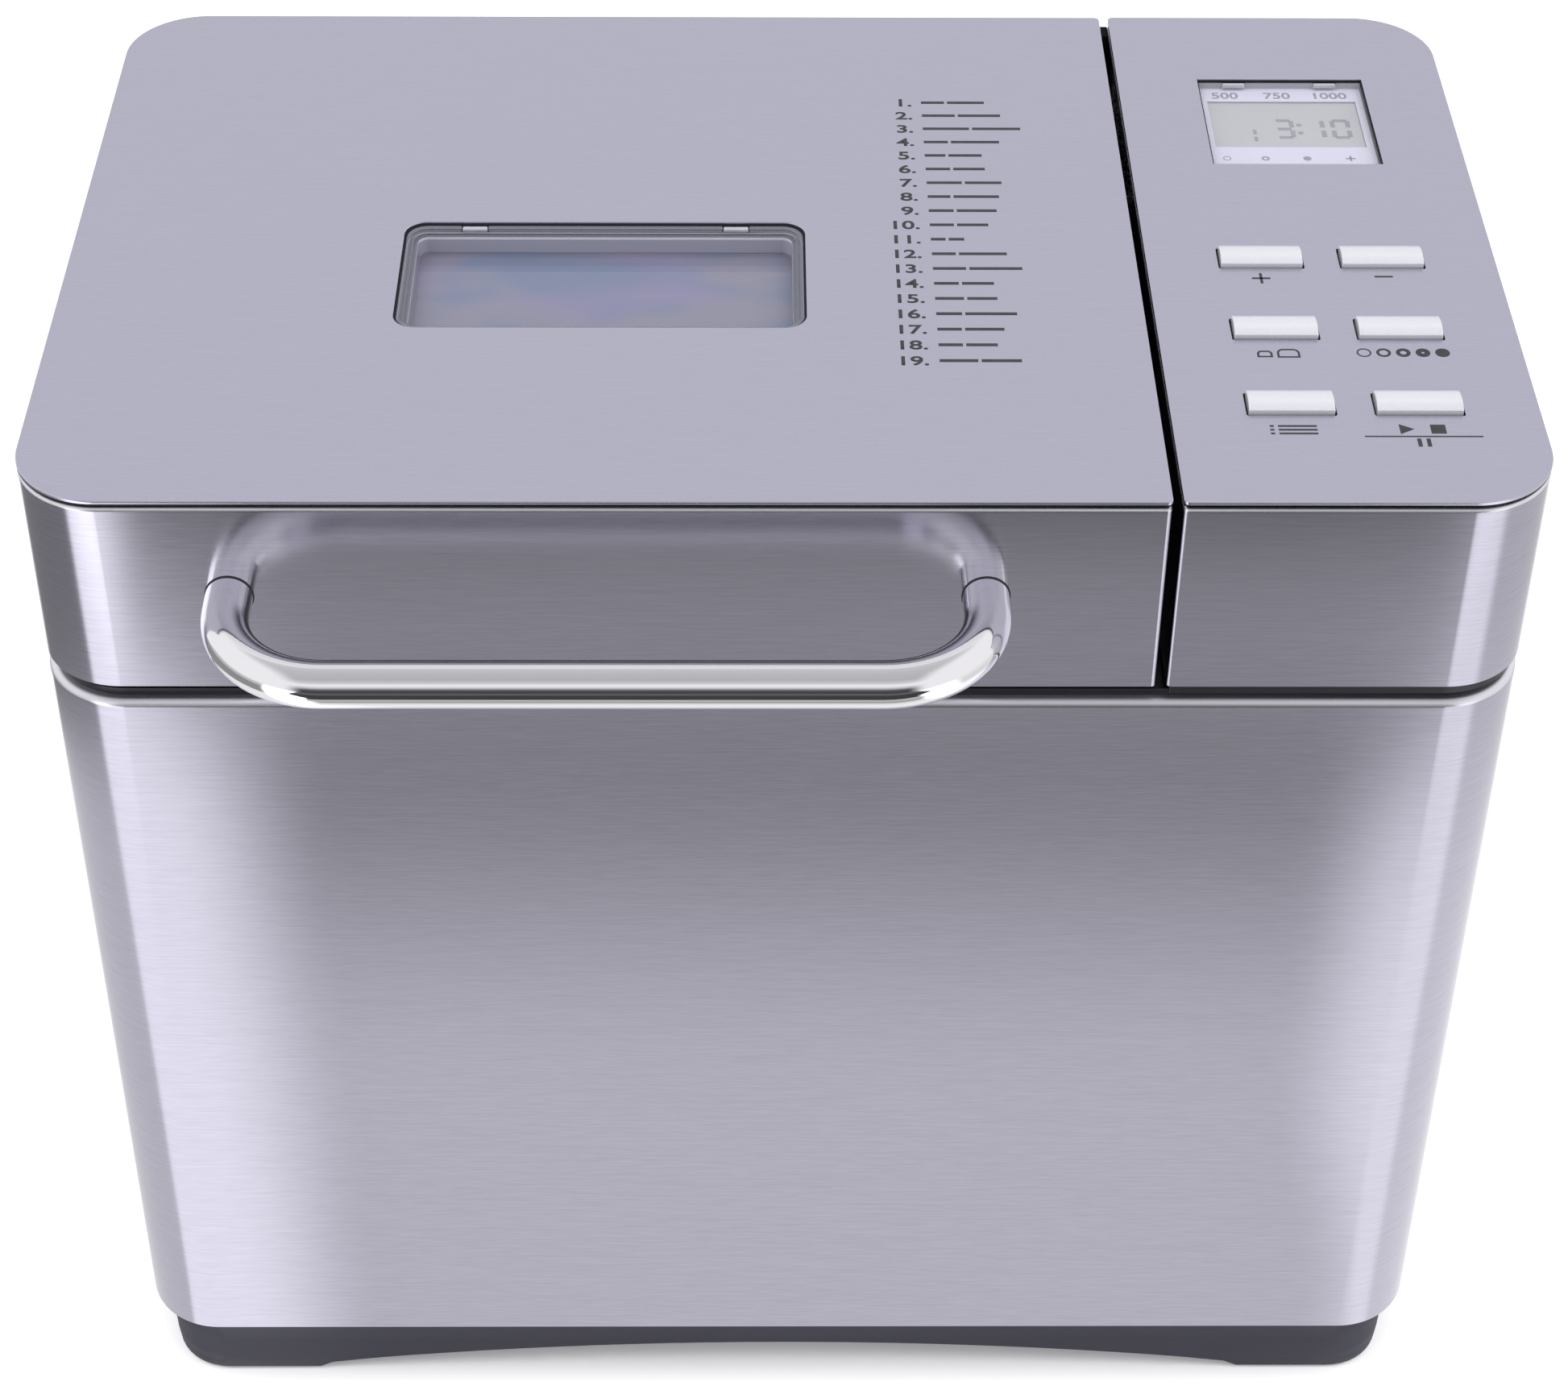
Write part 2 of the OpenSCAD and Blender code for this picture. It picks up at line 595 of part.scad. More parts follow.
module bearing_bushes() {
    color([0.7, 0.58, 0.3]) translate([chamber_x, chamber_y, bracket_z - 1])
        for (z = [0, bearing_h + bracket_t + 1 - 7]) translate([0, 0, z]) difference() {
            cylinder(r = bush_r, h = 7);
            translate([0, 0, -past]) cylinder(r = shaft_r + run, h = 9);
        }
}

shaft_low = pulley_z - 6;
dog_z = chamber_floor + 4;
dog_h = 12;
module drive_shaft() {
    color(bright) translate([chamber_x, chamber_y, shaft_low]) difference() {
        union() {
            cylinder(r = shaft_r, h = dog_z + 8 - shaft_low);
            // Collar that rides on the upper bush
            translate([0, 0, chamber_z - 4 + seat - shaft_low]) cylinder(r = shaft_r + 1.6, h = 2);
        }
        // Flat for the dog
        translate([shaft_r - 1, -shaft_r, dog_z - shaft_low]) cube([5, 2 * shaft_r, 20]);
    }
}

// Driving dog inside the chamber: a disc with two upright lugs
module drive_dog() {
    color(cast) translate([chamber_x, chamber_y, dog_z]) difference() {
        union() {
            cylinder(r = 19, h = 3);
            cylinder(r = shaft_r + 3, h = 8);
            for (a = [0, 180]) rotate(a) translate([0, 0, 3]) intersection() {
                cylinder(r = 19, h = dog_h - 3);
                translate([11, -4.5, 0]) cube([10, 9, dog_h]);
            }
        }
        difference() {
            translate([0, 0, -past]) cylinder(r = shaft_r + snug, h = 20);
            translate([shaft_r - 1 + snug, -6, -2]) cube([6, 12, 24]);
        }
    }
}

// Outline of a toothed pulley: trapezoid gaps, one of them centred on the +X axis
module pulley_teeth(n) {
    r = n * tooth_pitch / (2 * PI) - 0.4;
    root = r - tooth_h - belt_clear;
    step = 360 / n;
    w_top = 0.32 * tooth_pitch / r * 180 / PI;
    w_root = 0.22 * tooth_pitch / r * 180 / PI;
    polygon([for (i = [0:n - 1]) for (p = [[root, -w_root], [root, w_root], [r, w_top], [r, step - w_top]])
             let (a = i * step + p[1]) [p[0] * cos(a), p[0] * sin(a)]]);
}

module pulley(n, flange) {
    translate([0, 0, 1.5]) linear_extrude(pulley_h - 3) pulley_teeth(n);
    for (z = [0, pulley_h - 1.6]) translate([0, 0, z]) cylinder(r = n * tooth_pitch / (2 * PI) + flange, h = 1.6);
}

module large_pulley() {
    color(cast) translate([chamber_x, chamber_y, pulley_z]) difference() {
        union() {
            difference() {
                pulley(large_teeth, 1.8);
                for (z = [4.5, -past]) translate([0, 0, z + (z < 0 ? -3.5 : 3)]) difference() {
                    cylinder(r = large_r - 7, h = 8);
                    translate([0, 0, -past]) cylinder(r = 13, h = 10);
                }
                // Windows between the spokes
                for (a = [0:60:300]) rotate(a + 30) translate([26, 0, -5]) cylinder(r = 7.5, h = 30);
            }
            translate([0, 0, -2]) cylinder(r = 9, h = pulley_h + 3);
            for (a = [0:60:300]) rotate(a) translate([8, -1.2, 2]) cube([large_r - 14, 2.4, pulley_h - 4]);
        }
        translate([0, 0, -10]) cylinder(r = shaft_r + snug, h = 40);
    }
}

module shaft_nut() {
    color(bright) translate([chamber_x, chamber_y, pulley_z - 2 - 3.5]) difference() {
        cylinder(r = 7.2, h = 3.5, $fn = 6);
        translate([0, 0, -past]) cylinder(r = shaft_r + snug, h = 6);
    }
}

// Pitch line of the belt: length s from the far side of the large pulley gives a point and an outward normal
lean = asin((large_r - small_r) / drive_span);
run_len = drive_span * cos(lean);
arc_large = large_r * (90 + lean) * PI / 180;
arc_small = small_r * (90 - lean) * PI / 180;
half_len = arc_large + run_len + arc_small;
function belt_normal(s) =
    s < arc_large ? 180 - s / large_r * 180 / PI
    : s < arc_large + run_len ? 90 - lean
    : 90 - lean - (s - arc_large - run_len) / small_r * 180 / PI;
function belt_upper(s, off) = let (a = belt_normal(s), d = [cos(a), sin(a)])
    s < arc_large ? (large_r + off) * d
    : s < arc_large + run_len ? (large_r + off) * d + (s - arc_large) * [d[1], -d[0]]
    : [drive_span, 0] + (small_r + off) * d;
function belt_at(s, off) = s <= half_len ? belt_upper(s, off)
    : let (p = belt_upper(2 * half_len - s, off)) [p[0], -p[1]];

module drive_belt() {
    pitch = 2 * half_len / belt_teeth;
    inner = -0.4 + belt_clear;
    inside = [for (i = [0:belt_teeth - 1]) for (t = [[-0.24, inner], [-0.16, inner - tooth_h], [0.16, inner - tooth_h],
              [0.24, inner]]) let (s = (i + t[0]) * pitch) belt_at(s < 0 ? s + 2 * half_len : s, t[1])];
    steps = 3 * belt_teeth;
    color(black) translate([chamber_x, chamber_y, pulley_z + 1.8]) linear_extrude(belt_w - 0.6) difference() {
        polygon([for (i = [0:steps - 1]) belt_at(i * 2 * half_len / steps, belt_back)]);
        polygon(inside);
    }
}

motor_low = bracket_top;
stator_z = motor_low + 18;
stator_h = 26;
stator_half = 31;
rotor_r = 21;
motor_top = stator_z + stator_h + 18;
motor_screw_x = [-25, 25];
motor_screw_y = [-25, 25];
module motor_stator() {
    color(steel) translate([motor_x, motor_y, stator_z]) difference() {
        linear_extrude(stator_h) centred(0, 0, 2 * stator_half, 2 * stator_half, 5);
        translate([0, 0, -past]) cylinder(r = rotor_r + 0.6, h = stator_h + 2 * past);
        for (x = motor_screw_x) for (y = motor_screw_y) translate([x, y, -past]) cylinder(r = 2 + snug, h = 40);
    }
    color(copper) translate([motor_x, motor_y, 0]) for (z = [stator_z - 9, stator_z + stator_h])
        translate([0, 0, z]) rotate_extrude() translate([rotor_r + 1, 0]) intersection() {
            square([8, 9]);
            translate([3.5, 4.5]) circle(5.2);
        }
}

// Cast end frames, open round the windings
module motor_frame() {
    difference() {
        union() {
            cylinder(r = 20, h = 3);
            cylinder(r = 9, h = 10);
            for (a = [45:90:315]) rotate(a) {
                translate([6, -5, 0]) cube([25 * sqrt(2), 10, 3]);
                translate([25 * sqrt(2), 0, 0]) cylinder(r = 5.5, h = 18);
            }
        }
        translate([0, 0, -past]) cylinder(r = shaft_r + run, h = 20);
        for (x = motor_screw_x) for (y = motor_screw_y) translate([x, y, -past]) cylinder(r = 2 + snug, h = 40);
    }
}
module motor_frames() {
    color(cast) {
        translate([motor_x, motor_y, motor_low]) motor_frame();
        translate([motor_x, motor_y, motor_top]) mirror([0, 0, 1]) motor_frame();
    }
}

module motor_screws() {
    color(bright) for (x = motor_screw_x) for (y = motor_screw_y) translate([motor_x + x, motor_y + y, 0]) {
        translate([0, 0, bracket_z]) cylinder(r = 2, h = motor_top + 4 - bracket_z);
        translate([0, 0, motor_top]) cylinder(r = 3.6, h = 2.6);
        translate([0, 0, bracket_z - 3]) cylinder(r = 3.8, h = 3, $fn = 6);
    }
}

module motor_rotor() {
    color(bright) translate([motor_x, motor_y, 0]) {
        translate([0, 0, pulley_z - 2]) cylinder(r = shaft_r, h = motor_top + 4 - pulley_z);
        translate([0, 0, stator_z]) cylinder(r = rotor_r, h = stator_h);
        translate([0, 0, motor_low + 10 + seat]) cylinder(r = shaft_r + 1.5, h = stator_z - motor_low - 10 - seat);
        translate([0, 0, stator_z + stator_h])
            cylinder(r = shaft_r + 1.5, h = motor_top - 10 - seat - stator_z - stator_h);
    }
}

module small_pulley() {
    color(cast) translate([motor_x, motor_y, pulley_z]) difference() {
        union() {
            pulley(small_teeth, 1.8);
            translate([0, 0, pulley_h - 1]) cylinder(r = 7, h = 3.5);
        }
        translate([0, 0, -past]) cylinder(r = shaft_r + snug, h = 30);
    }
}

capacitor_r = 15;
capacitor_x = motor_x + 8;
capacitor_y = front + 30;
module capacitor() {
    color([0.75, 0.75, 0.72]) translate([capacitor_x, capacitor_y, base_floor_z + plastic_t]) {
        cylinder(r = capacitor_r, h = 46);
        translate([0, 0, 46]) cylinder(r = capacitor_r - 2, h = 2);
        for (x = [-5, 5]) translate([x - 0.4, -3, 47]) cube([0.8, 6, 9]);
        // Strap with a screwed ear
        translate([0, 0, 14]) cylinder(r = capacitor_r + 1, h = 8);
        translate([0, capacitor_r - 1, 0]) cube([1.5, 6, 20]);
    }
}

// ---- Boards ----
power_w = 88;
power_d = 48;
power_hole = 6;    // from the board's short edge to its fixing holes
module power_board() {
    x0 = chamber_x + chamber_w / 2 + 18;
    color(board) translate([x0, power_y - power_d / 2, power_z]) cube([power_w, power_d, board_t]);
    color(black) for (x = [power_hole, power_w - power_hole]) for (y = [-1, 1])
        translate([x0 + x, power_y + y * (power_d / 2 - 5), base_floor_z + plastic_t])
            cylinder(r = 3, h = power_z - base_floor_z - plastic_t);
    color([0.85, 0.65, 0.2]) translate([x0 + 8, power_y - 17, power_z + 1.6]) cube([26, 22, 19]);
    color([0.1, 0.2, 0.5]) translate([x0 + 42, power_y - 19, power_z + 1.6]) cube([19, 15, 15]);
    color(cast) for (i = [0:5]) translate([x0 + 40 + i * 5, power_y + 3, power_z + 1.6]) cube([2, 18, 20]);
    color(cast) translate([x0 + 40, power_y + 3, power_z + 1.6]) cube([27, 18, 3]);
    color([0.2, 0.2, 0.22]) translate([x0 + 76, power_y - 10, power_z + 1.6]) cylinder(r = 6, h = 14);
}

control_z = web_z - 17;
board_t = 1.6;
switch_h = 4;
button_xs = [panel_mid - button_dx / 2, panel_mid + button_dx / 2];
button_ys = [for (i = [0:2]) front + button_y + i * button_dy];
lcd_y = front + display_y;
board_x = [panel_x + 10, side - 10];
board_y = [front + button_y - 18, lcd_y + 28];
carrier_post_at = [for (x = [board_x[0] + 5, board_x[1] - 5]) for (y = [board_y[0] + 5, board_y[1] - 3]) [x, y]];
module control_board() {
    color(board) difference() {
        translate([board_x[0], board_y[0], control_z]) cube([board_x[1] - board_x[0], board_y[1] - board_y[0], board_t]);
        for (p = carrier_post_at) translate([p[0], p[1], control_z - past]) cylinder(r = 1.5 + snug, h = 5);
    }
    // Key switches
    color(black) for (x = button_xs) for (y = button_ys) translate([x, y, control_z + board_t]) {
        translate([-3, -3, 0]) cube([6, 6, switch_h - 1]);
        cylinder(r = 1.7, h = switch_h);
    }
    // Buzzer and processor under the board
    color(black) translate([panel_mid - 18, lcd_y, control_z - 6]) cylinder(r = 6, h = 6);
    color(black) translate([panel_mid + 6, lcd_y - 36, control_z - 1.5]) cube([12, 12, 1.5]);
    color(cast) translate([ribbon_x - 8, board_y[1] - 9, control_z - 5]) cube([16, 6, 5]);
}

ribbon_t = 1;
// Flat cable from the power board up to the control board
module ribbon_cable() {
    y0 = ribbon_y - ribbon_t / 2;
    y1 = board_y[1] - 6;
    color([0.6, 0.6, 0.62]) translate([ribbon_x - 6, 0, 0]) {
        translate([0, y0, power_z + board_t]) cube([12, ribbon_t, control_z - 10 - power_z - board_t]);
        translate([0, min(y0, y1), control_z - 10 - ribbon_t]) cube([12, abs(y1 - y0) + ribbon_t, ribbon_t]);
        translate([0, y1, control_z - 10]) cube([12, ribbon_t, 5]);
    }
}

display_ledge = 2;
module display_module() {
    w = display_w - 2 * display_ledge - 0.6;
    d = display_d - 2 * display_ledge - 0.6;
    color([0.72, 0.75, 0.68]) translate([panel_mid - w / 2, lcd_y - d / 2, web_top - seat - 3.6]) cube([w, d, 3.6]);
    color(black) for (x = [-1, 1]) for (y = [-1, 1])
        translate([panel_mid + x * (w / 2 - 2) - 1.5, lcd_y + y * (d / 2 - 2) - 1.5, control_z + board_t])
            cube([3, 3, web_top - seat - 3.6 - control_z - board_t]);
}

display_fit = 0.25;
// Clear pane with two small clip notches in its rear edge
module display_lens() {
    w = display_w - 2 * display_fit;
    d = display_d - 2 * display_fit;
    color([0.8, 0.86, 0.9, 0.35]) translate([panel_mid, lcd_y, web_top]) difference() {
        translate([-w / 2, -d / 2, 0]) cube([w, d, plate_z + plate_t - 0.8 - web_top]);
        for (x = [-0.28, 0.28]) translate([x * w - 2.4, d / 2 - 1.2, 0.8]) cube([4.8, 3, 5]);
    }
}

// ---- Control panel shells ----
// One shell of lid or panel: outer steel wall with a rolled top edge
module skirt(x0, x1, rl, rr) {
    translate([0, 0, skirt_z]) linear_extrude(skirt_top - skirt_roll - skirt_z) difference() {
        plan(x0, x1, front, rear, rl, rr);
        plan(x0 + sheet, x1 - sheet, front + sheet, rear - sheet, rl - sheet, rr - sheet);
    }
    translate([0, 0, skirt_top - skirt_roll]) sweep(x0, x1, front, rear, rl, rr)
        rolled_edge(skirt_roll, edge_r - skirt_roll - 0.1);
}

module panel_skirt() { color(steel) skirt(panel_x, side, edge_r, corner_r); }

module panel_plate() {
    color(steel) translate([0, 0, plate_z]) linear_extrude(plate_t) difference() {
        panel_plan(0);
        for (x = button_xs) for (y = button_ys)
            centred(x, y, button_w + 2 * slide_fit, button_d + 2 * slide_fit, 0.6);
        translate([panel_mid - display_w / 2, lcd_y - display_d / 2]) square([display_w, display_d]);
    }
}

// Black moulding inside the panel: wall, web with guides for the buttons, pad under the top plate
module panel_carrier() {
    pad_in = edge_r + 1.1;
    color(black) difference() {
        union() {
            translate([0, 0, deck_top]) linear_extrude(web_top - deck_top) difference() {
                panel_plan(sheet + 0.2);
                panel_plan(sheet + 0.2 + 1.8);
            }
            translate([0, 0, web_z]) linear_extrude(web_t) panel_plan(sheet + 0.2);
            translate([0, 0, web_top]) linear_extrude(plate_z - web_top) panel_plan(pad_in);
            for (p = carrier_post_at) translate([p[0], p[1], 0]) {
                translate([0, 0, control_z + board_t]) cylinder(r = 3.5, h = web_z - control_z - board_t);
                translate([0, 0, control_z - 2]) cylinder(r = 1.5, h = 10);
            }
            // Raised guides round the buttons
            for (x = button_xs) for (y = button_ys) translate([0, 0, web_z - 1]) linear_extrude(1.5) difference() {
                centred(x, y, button_w + 5, button_d + 5, 1);
                centred(x, y, button_w, button_d, 0.5);
            }
        }
        for (x = button_xs) for (y = button_ys) translate([0, 0, web_z - 3]) linear_extrude(12)
            centred(x, y, button_w + 2 * slide_fit, button_d + 2 * slide_fit, 0.6);
        translate([panel_mid - display_w / 2, lcd_y - display_d / 2, web_top]) cube([display_w, display_d, 9]);
        translate([panel_mid - display_w / 2 + display_ledge, lcd_y - display_d / 2 + display_ledge, web_z - 3])
            cube([display_w - 2 * display_ledge, display_d - 2 * display_ledge, 12]);
    }
}

// Push button: domed cap, retaining flange under the guide, stem over its key switch
module button(x, y) {
    cap_z = web_z - 1 - 2.6;
    top = plate_z + plate_t + button_rise;
    crown = 9;
    color(bright) translate([x, y, 0]) {
        translate([-button_w / 2, 0, 0]) rotate([90, 0, 90]) linear_extrude(button_w) intersection() {
            translate([-button_d / 2, cap_z]) square([button_d, top - cap_z]);
            translate([0, top - crown]) circle(crown);
            translate([-20, top - 20]) square([40, 20]);
        }
        translate([-button_w / 2, -button_d / 2, cap_z]) cube([button_w, button_d, top - cap_z - 2.5]);
        translate([-button_w / 2 - 1.4, -button_d / 2 - 1.4, cap_z]) cube([button_w + 2.8, button_d + 2.8, 1.6]);
        translate([0, 0, control_z + board_t + switch_h + button_travel + 0.2])
            cylinder(r = 2.4, h = cap_z + 0.5 - control_z - board_t - switch_h - button_travel - 0.2);
    }
}

// ---- Bread pan ----
pan_bottom_r = 6;
bead_r = 1.9;
ear_x = pan_w / 2 + bead_r + 0.2 + seat;
ear_t = 1.5;
bail_z = pan_top + bail_r + seat;
bail_x = ear_x + ear_t + bail_r + 0.6;
bail_y = pan_d / 2 + 8;
bail_bend = 12;
bush_top = pan_floor + 7;
seal_top = bush_top + 2;
wing_z = dog_z + 8 + seat;
bush_low = wing_z + 3.8 + seat;
module bread_pan() {
    d = pan_draft;
    t = pan_t;
    b = pan_bottom_r;
    color(coated) translate([chamber_x, chamber_y, 0]) difference() {
        union() {
            sweep(-pan_w / 2, pan_w / 2, -pan_d / 2, pan_d / 2, pan_r, pan_r) polygon(concat(
                [[d + b + 4, pan_z]], arc(d + b, pan_z + b, b, 270, 180, 6), [[0, pan_top - 2 * bead_r]],
                arc(-0.2, pan_top - bead_r, bead_r, 270, 90, 8), [[t, pan_top]],
                arc(d + b + 0.2, pan_floor + b - t, b - t + 0.2, 180, 270, 6), [[d + b + 4, pan_floor - 0.2]]));
            translate([0, 0, pan_z]) linear_extrude(pan_floor - pan_z)
                centred(0, 0, pan_w - 2 * (d + b), pan_d - 2 * (d + b), pan_r - d - b);
        }
        translate([0, 0, pan_z - past]) cylinder(r = 8 + snug, h = 6);
    }
}

module pan_collar() {
    color(cast) translate([chamber_x, chamber_y, chamber_floor + seat]) difference() {
        cylinder(r = seat_r - 0.4, h = pan_z - chamber_floor - seat);
        translate([0, 0, -past]) cylinder(r = seat_r - 4, h = pan_z - chamber_z);
        // Finger openings round the collar
        for (a = [0:45:135]) rotate(a) translate([-40, -6, 11]) cube([80, 12, 4]);
    }
}

module pan_bush() {
    color(cast) translate([chamber_x, chamber_y, 0]) difference() {
        union() {
            translate([0, 0, bush_low]) cylinder(r = 8, h = bush_top - bush_low);
            translate([0, 0, bush_low + 0.5]) cylinder(r = 13, h = pan_z - bush_low - 0.5);
            translate([0, 0, pan_floor]) cylinder(r = 11, h = 2.5, $fn = 6);
        }
        translate([0, 0, bush_low - past]) cylinder(r = shaft_r + run, h = 20);
    }
}

module pan_ears() {
    boss_x = pan_w / 2 - 0.05;
    color(cast) translate([chamber_x, chamber_y, 0]) for (s = [0, 1]) mirror([s, 0, 0]) difference() {
        union() {
            translate([ear_x, -9, pan_top - 20]) cube([ear_t, 18, 22]);
            translate([ear_x, 0, bail_z - 1]) rotate([0, 90, 0]) cylinder(r = 8, h = ear_t);
            translate([boss_x, 0, pan_top - 12]) rotate([0, 90, 0]) cylinder(r = 4, h = ear_x - boss_x + 0.5);
        }
        translate([ear_x - past, 0, bail_z]) rotate([0, 90, 0]) cylinder(r = bail_r + run, h = ear_t + 2 * past);
    }
}

module pan_bail() {
    pin_in = ear_x - 0.6;
    color(bright) translate([chamber_x, chamber_y, bail_z]) {
        for (s = [-1, 1]) {
            rod_y(s * bail_x, -bail_y + bail_bend, -3, bail_r);
            rod_x(s > 0 ? pin_in : -bail_x + 3, s > 0 ? bail_x - 3 : -pin_in, 0, bail_r);
            bend(s * (bail_x - 3), -3, 3, s > 0 ? 0 : 90, bail_r);
        }
        bend(bail_x - bail_bend, -bail_y + bail_bend, bail_bend, 270, bail_r);
        bend(-bail_x + bail_bend, -bail_y + bail_bend, bail_bend, 180, bail_r);
        rod_x(-bail_x + bail_bend, bail_x - bail_bend, -bail_y, bail_r);
    }
}

flat = 1;
module pan_shaft() {
    top = seal_top + 24;
    color(bright) translate([chamber_x, chamber_y, 0]) difference() {
        union() {
            translate([0, 0, wing_z]) cylinder(r = shaft_r, h = top - wing_z);
            // Wing that the driving dog's lugs push
            translate([0, 0, wing_z]) intersection() {
                cylinder(r = 18, h = 3.8);
                translate([-4, -18, 0]) cube([8, 36, 4]);
            }
        }
        translate([shaft_r - flat, -6, seal_top + 0.2]) cube([6, 12, 40]);
    }
}

module shaft_seal() {
    color([0.55, 0.16, 0.12]) translate([chamber_x, chamber_y, bush_top]) difference() {
        cylinder(r = 7, h = seal_top - bush_top);
        translate([0, 0, -past]) cylinder(r = shaft_r + run, h = 5);
    }
}

paddle_reach = 46;
paddle_h = 25;
// Paddle: a hub on the flatted shaft and one swept blade with a sloping top
module kneading_paddle() {
    color(coated) translate([chamber_x, chamber_y, seal_top + seat]) difference() {
        union() {
            cylinder(r = 8.5, h = paddle_h);
            intersection() {
                linear_extrude(paddle_h) polygon(concat(arc(6, 44, 50, 270, 306, 10), arc(8, 54, 55, 309, 262, 12)));
                translate([0, 60, 0]) rotate([90, 0, 0]) linear_extrude(90) polygon(concat(
                    [[-6, 0.5], [paddle_reach - 3, 0.5]], arc(paddle_reach - 10, 10, 10, 0, 60, 6),
                    [[16, paddle_h - 1], [-6, paddle_h]]));
            }
        }
        difference() {
            translate([0, 0, -past]) cylinder(r = shaft_r + run, h = 40);
            translate([shaft_r - flat + run, -6, -2]) cube([6, 12, 50]);
        }
    }
}

// ---- Lid ----
window_mid_y = front + window_y;
handle_z = skirt_z + handle_rise;
handle_xs = [lid_mid + 3.75 - handle_span / 2, lid_mid + 3.75 + handle_span / 2];
handle_bar_y = front - handle_reach + handle_r;
notch_half = hinge_ear_w / 2 + 0.4;
knuckle_w = 9;
lens_ledge = 3;
boss_at = [for (x = [-1, 1]) for (y = [-1, 1])
           [chamber_x + x * (chamber_w / 2 - 24), chamber_y + y * (chamber_d / 2 - 14)]];
boss_out = 8;      // depth of the handle bosses behind the front face

module lid_notches() {
    for (x = hinge_xs) translate([x - notch_half, hinge_y - 1, skirt_z - 3])
        cube([2 * notch_half, 20, hinge_rise + 9]);
}

module lid_plate() {
    color(steel) translate([0, 0, plate_z]) linear_extrude(plate_t) difference() {
        lid_plan(0);
        centred(lid_mid, window_mid_y, window_w, window_d, window_r);
    }
}

module lid_skirt() {
    color(steel) difference() {
        skirt(-side, lid_x, corner_r, edge_r);
        lid_notches();
        for (x = handle_xs) translate([x, front + 5, handle_z]) rotate([90, 0, 0]) cylinder(r = 2 + snug, h = 10);
    }
}

// Black moulding inside the lid: wall, web, pad, window well, screw bosses and hinge knuckles
module lid_frame() {
    wall_in = sheet + 0.2;
    color(black) difference() {
        union() {
            translate([0, 0, skirt_z - 0.2]) linear_extrude(web_top - skirt_z + 0.2) difference() {
                lid_plan(wall_in);
                lid_plan(wall_in + 1.8);
            }
            translate([0, 0, web_z]) linear_extrude(web_t) lid_plan(wall_in);
            translate([0, 0, web_top]) linear_extrude(plate_z - web_top) lid_plan(edge_r + 1.1);
            translate([0, 0, liner_top + glass_t + seat]) linear_extrude(web_z - liner_top - glass_t - seat + 0.5)
                difference() {
                    centred(lid_mid, window_mid_y, window_w + 6, window_d + 6, window_r + 3);
                    centred(lid_mid, window_mid_y, window_w + 2, window_d + 2, window_r + 1);
                }
            for (p = boss_at) translate([p[0], p[1], liner_top]) cylinder(r = 4, h = web_z - liner_top + 0.5);
            for (x = handle_xs) translate([x, front + boss_out, handle_z]) rotate([90, 0, 0])
                cylinder(r = 7, h = boss_out - wall_in - 0.5);
            // Ribs across the web, clear of the window well
            for (x = [-150, -115, 25, 60]) translate([lid_mid + 45.4 + x, front + 4, web_z - 8])
                cube([1.8, body_d - 8, 8.5]);
            for (x = hinge_xs) for (s = [-1, 1])
                translate([x + s * (notch_half + knuckle_w / 2) - knuckle_w / 2, hinge_y, hinge_z]) {
                    rotate([0, 90, 0]) cylinder(r = ear_r, h = knuckle_w);
                    translate([0, -ear_r + 0.5, 0]) cube([knuckle_w, ear_r + hinge_inset - wall_in - 0.9,
                                                          web_z - hinge_z + 0.5]);
                }
        }
        lid_notches();
        translate([0, 0, web_top]) linear_extrude(9) centred(lid_mid, window_mid_y, window_w, window_d, window_r);
        translate([0, 0, web_z - past]) linear_extrude(9) centred(lid_mid, window_mid_y, window_w - 2 * lens_ledge,
                                                                  window_d - 2 * lens_ledge, window_r - lens_ledge);
        for (x = handle_xs) translate([x, front + boss_out + past, handle_z]) rotate([90, 0, 0])
            cylinder(r = 2 + snug, h = 20);
        for (p = boss_at) translate([p[0], p[1], liner_top - past]) cylinder(r = 1.5 + snug, h = 9);
        for (x = hinge_xs) translate([x - 30, hinge_y, hinge_z]) rotate([0, 90, 0])
            cylinder(r = hinge_pin_r + snug, h = 60);
    }
}

// Pressed steel inner lid: flange over the deck and a recess that gives the loaf headroom
module lid_liner() {
    r = chamber_r - liner_edge;
    w = chamber_w - 2 * liner_edge;
    d = chamber_d - 2 * liner_edge;
    color(cast) difference() {
        union() {
            translate([0, 0, liner_z]) linear_extrude(sheet) intersection() {
                lid_plan(sheet + 0.2 + 1.8 + seat);
                translate([-side, front]) square([body_w, body_d - 14]);
            }
            translate([0, 0, liner_z]) linear_extrude(liner_h)
                centred(chamber_x, chamber_y, w + 2 * sheet, d + 2 * sheet, r + sheet);
        }
        translate([0, 0, liner_z - past]) linear_extrude(liner_h - sheet + past)
            centred(chamber_x, chamber_y, w, d, r);
        translate([0, 0, liner_top - 5]) linear_extrude(9)
            centred(lid_mid, window_mid_y, window_w - 4, window_d - 4, window_r);
        for (p = boss_at) translate([p[0], p[1], liner_top - 5]) cylinder(r = 1.5 + snug, h = 9);
    }
}

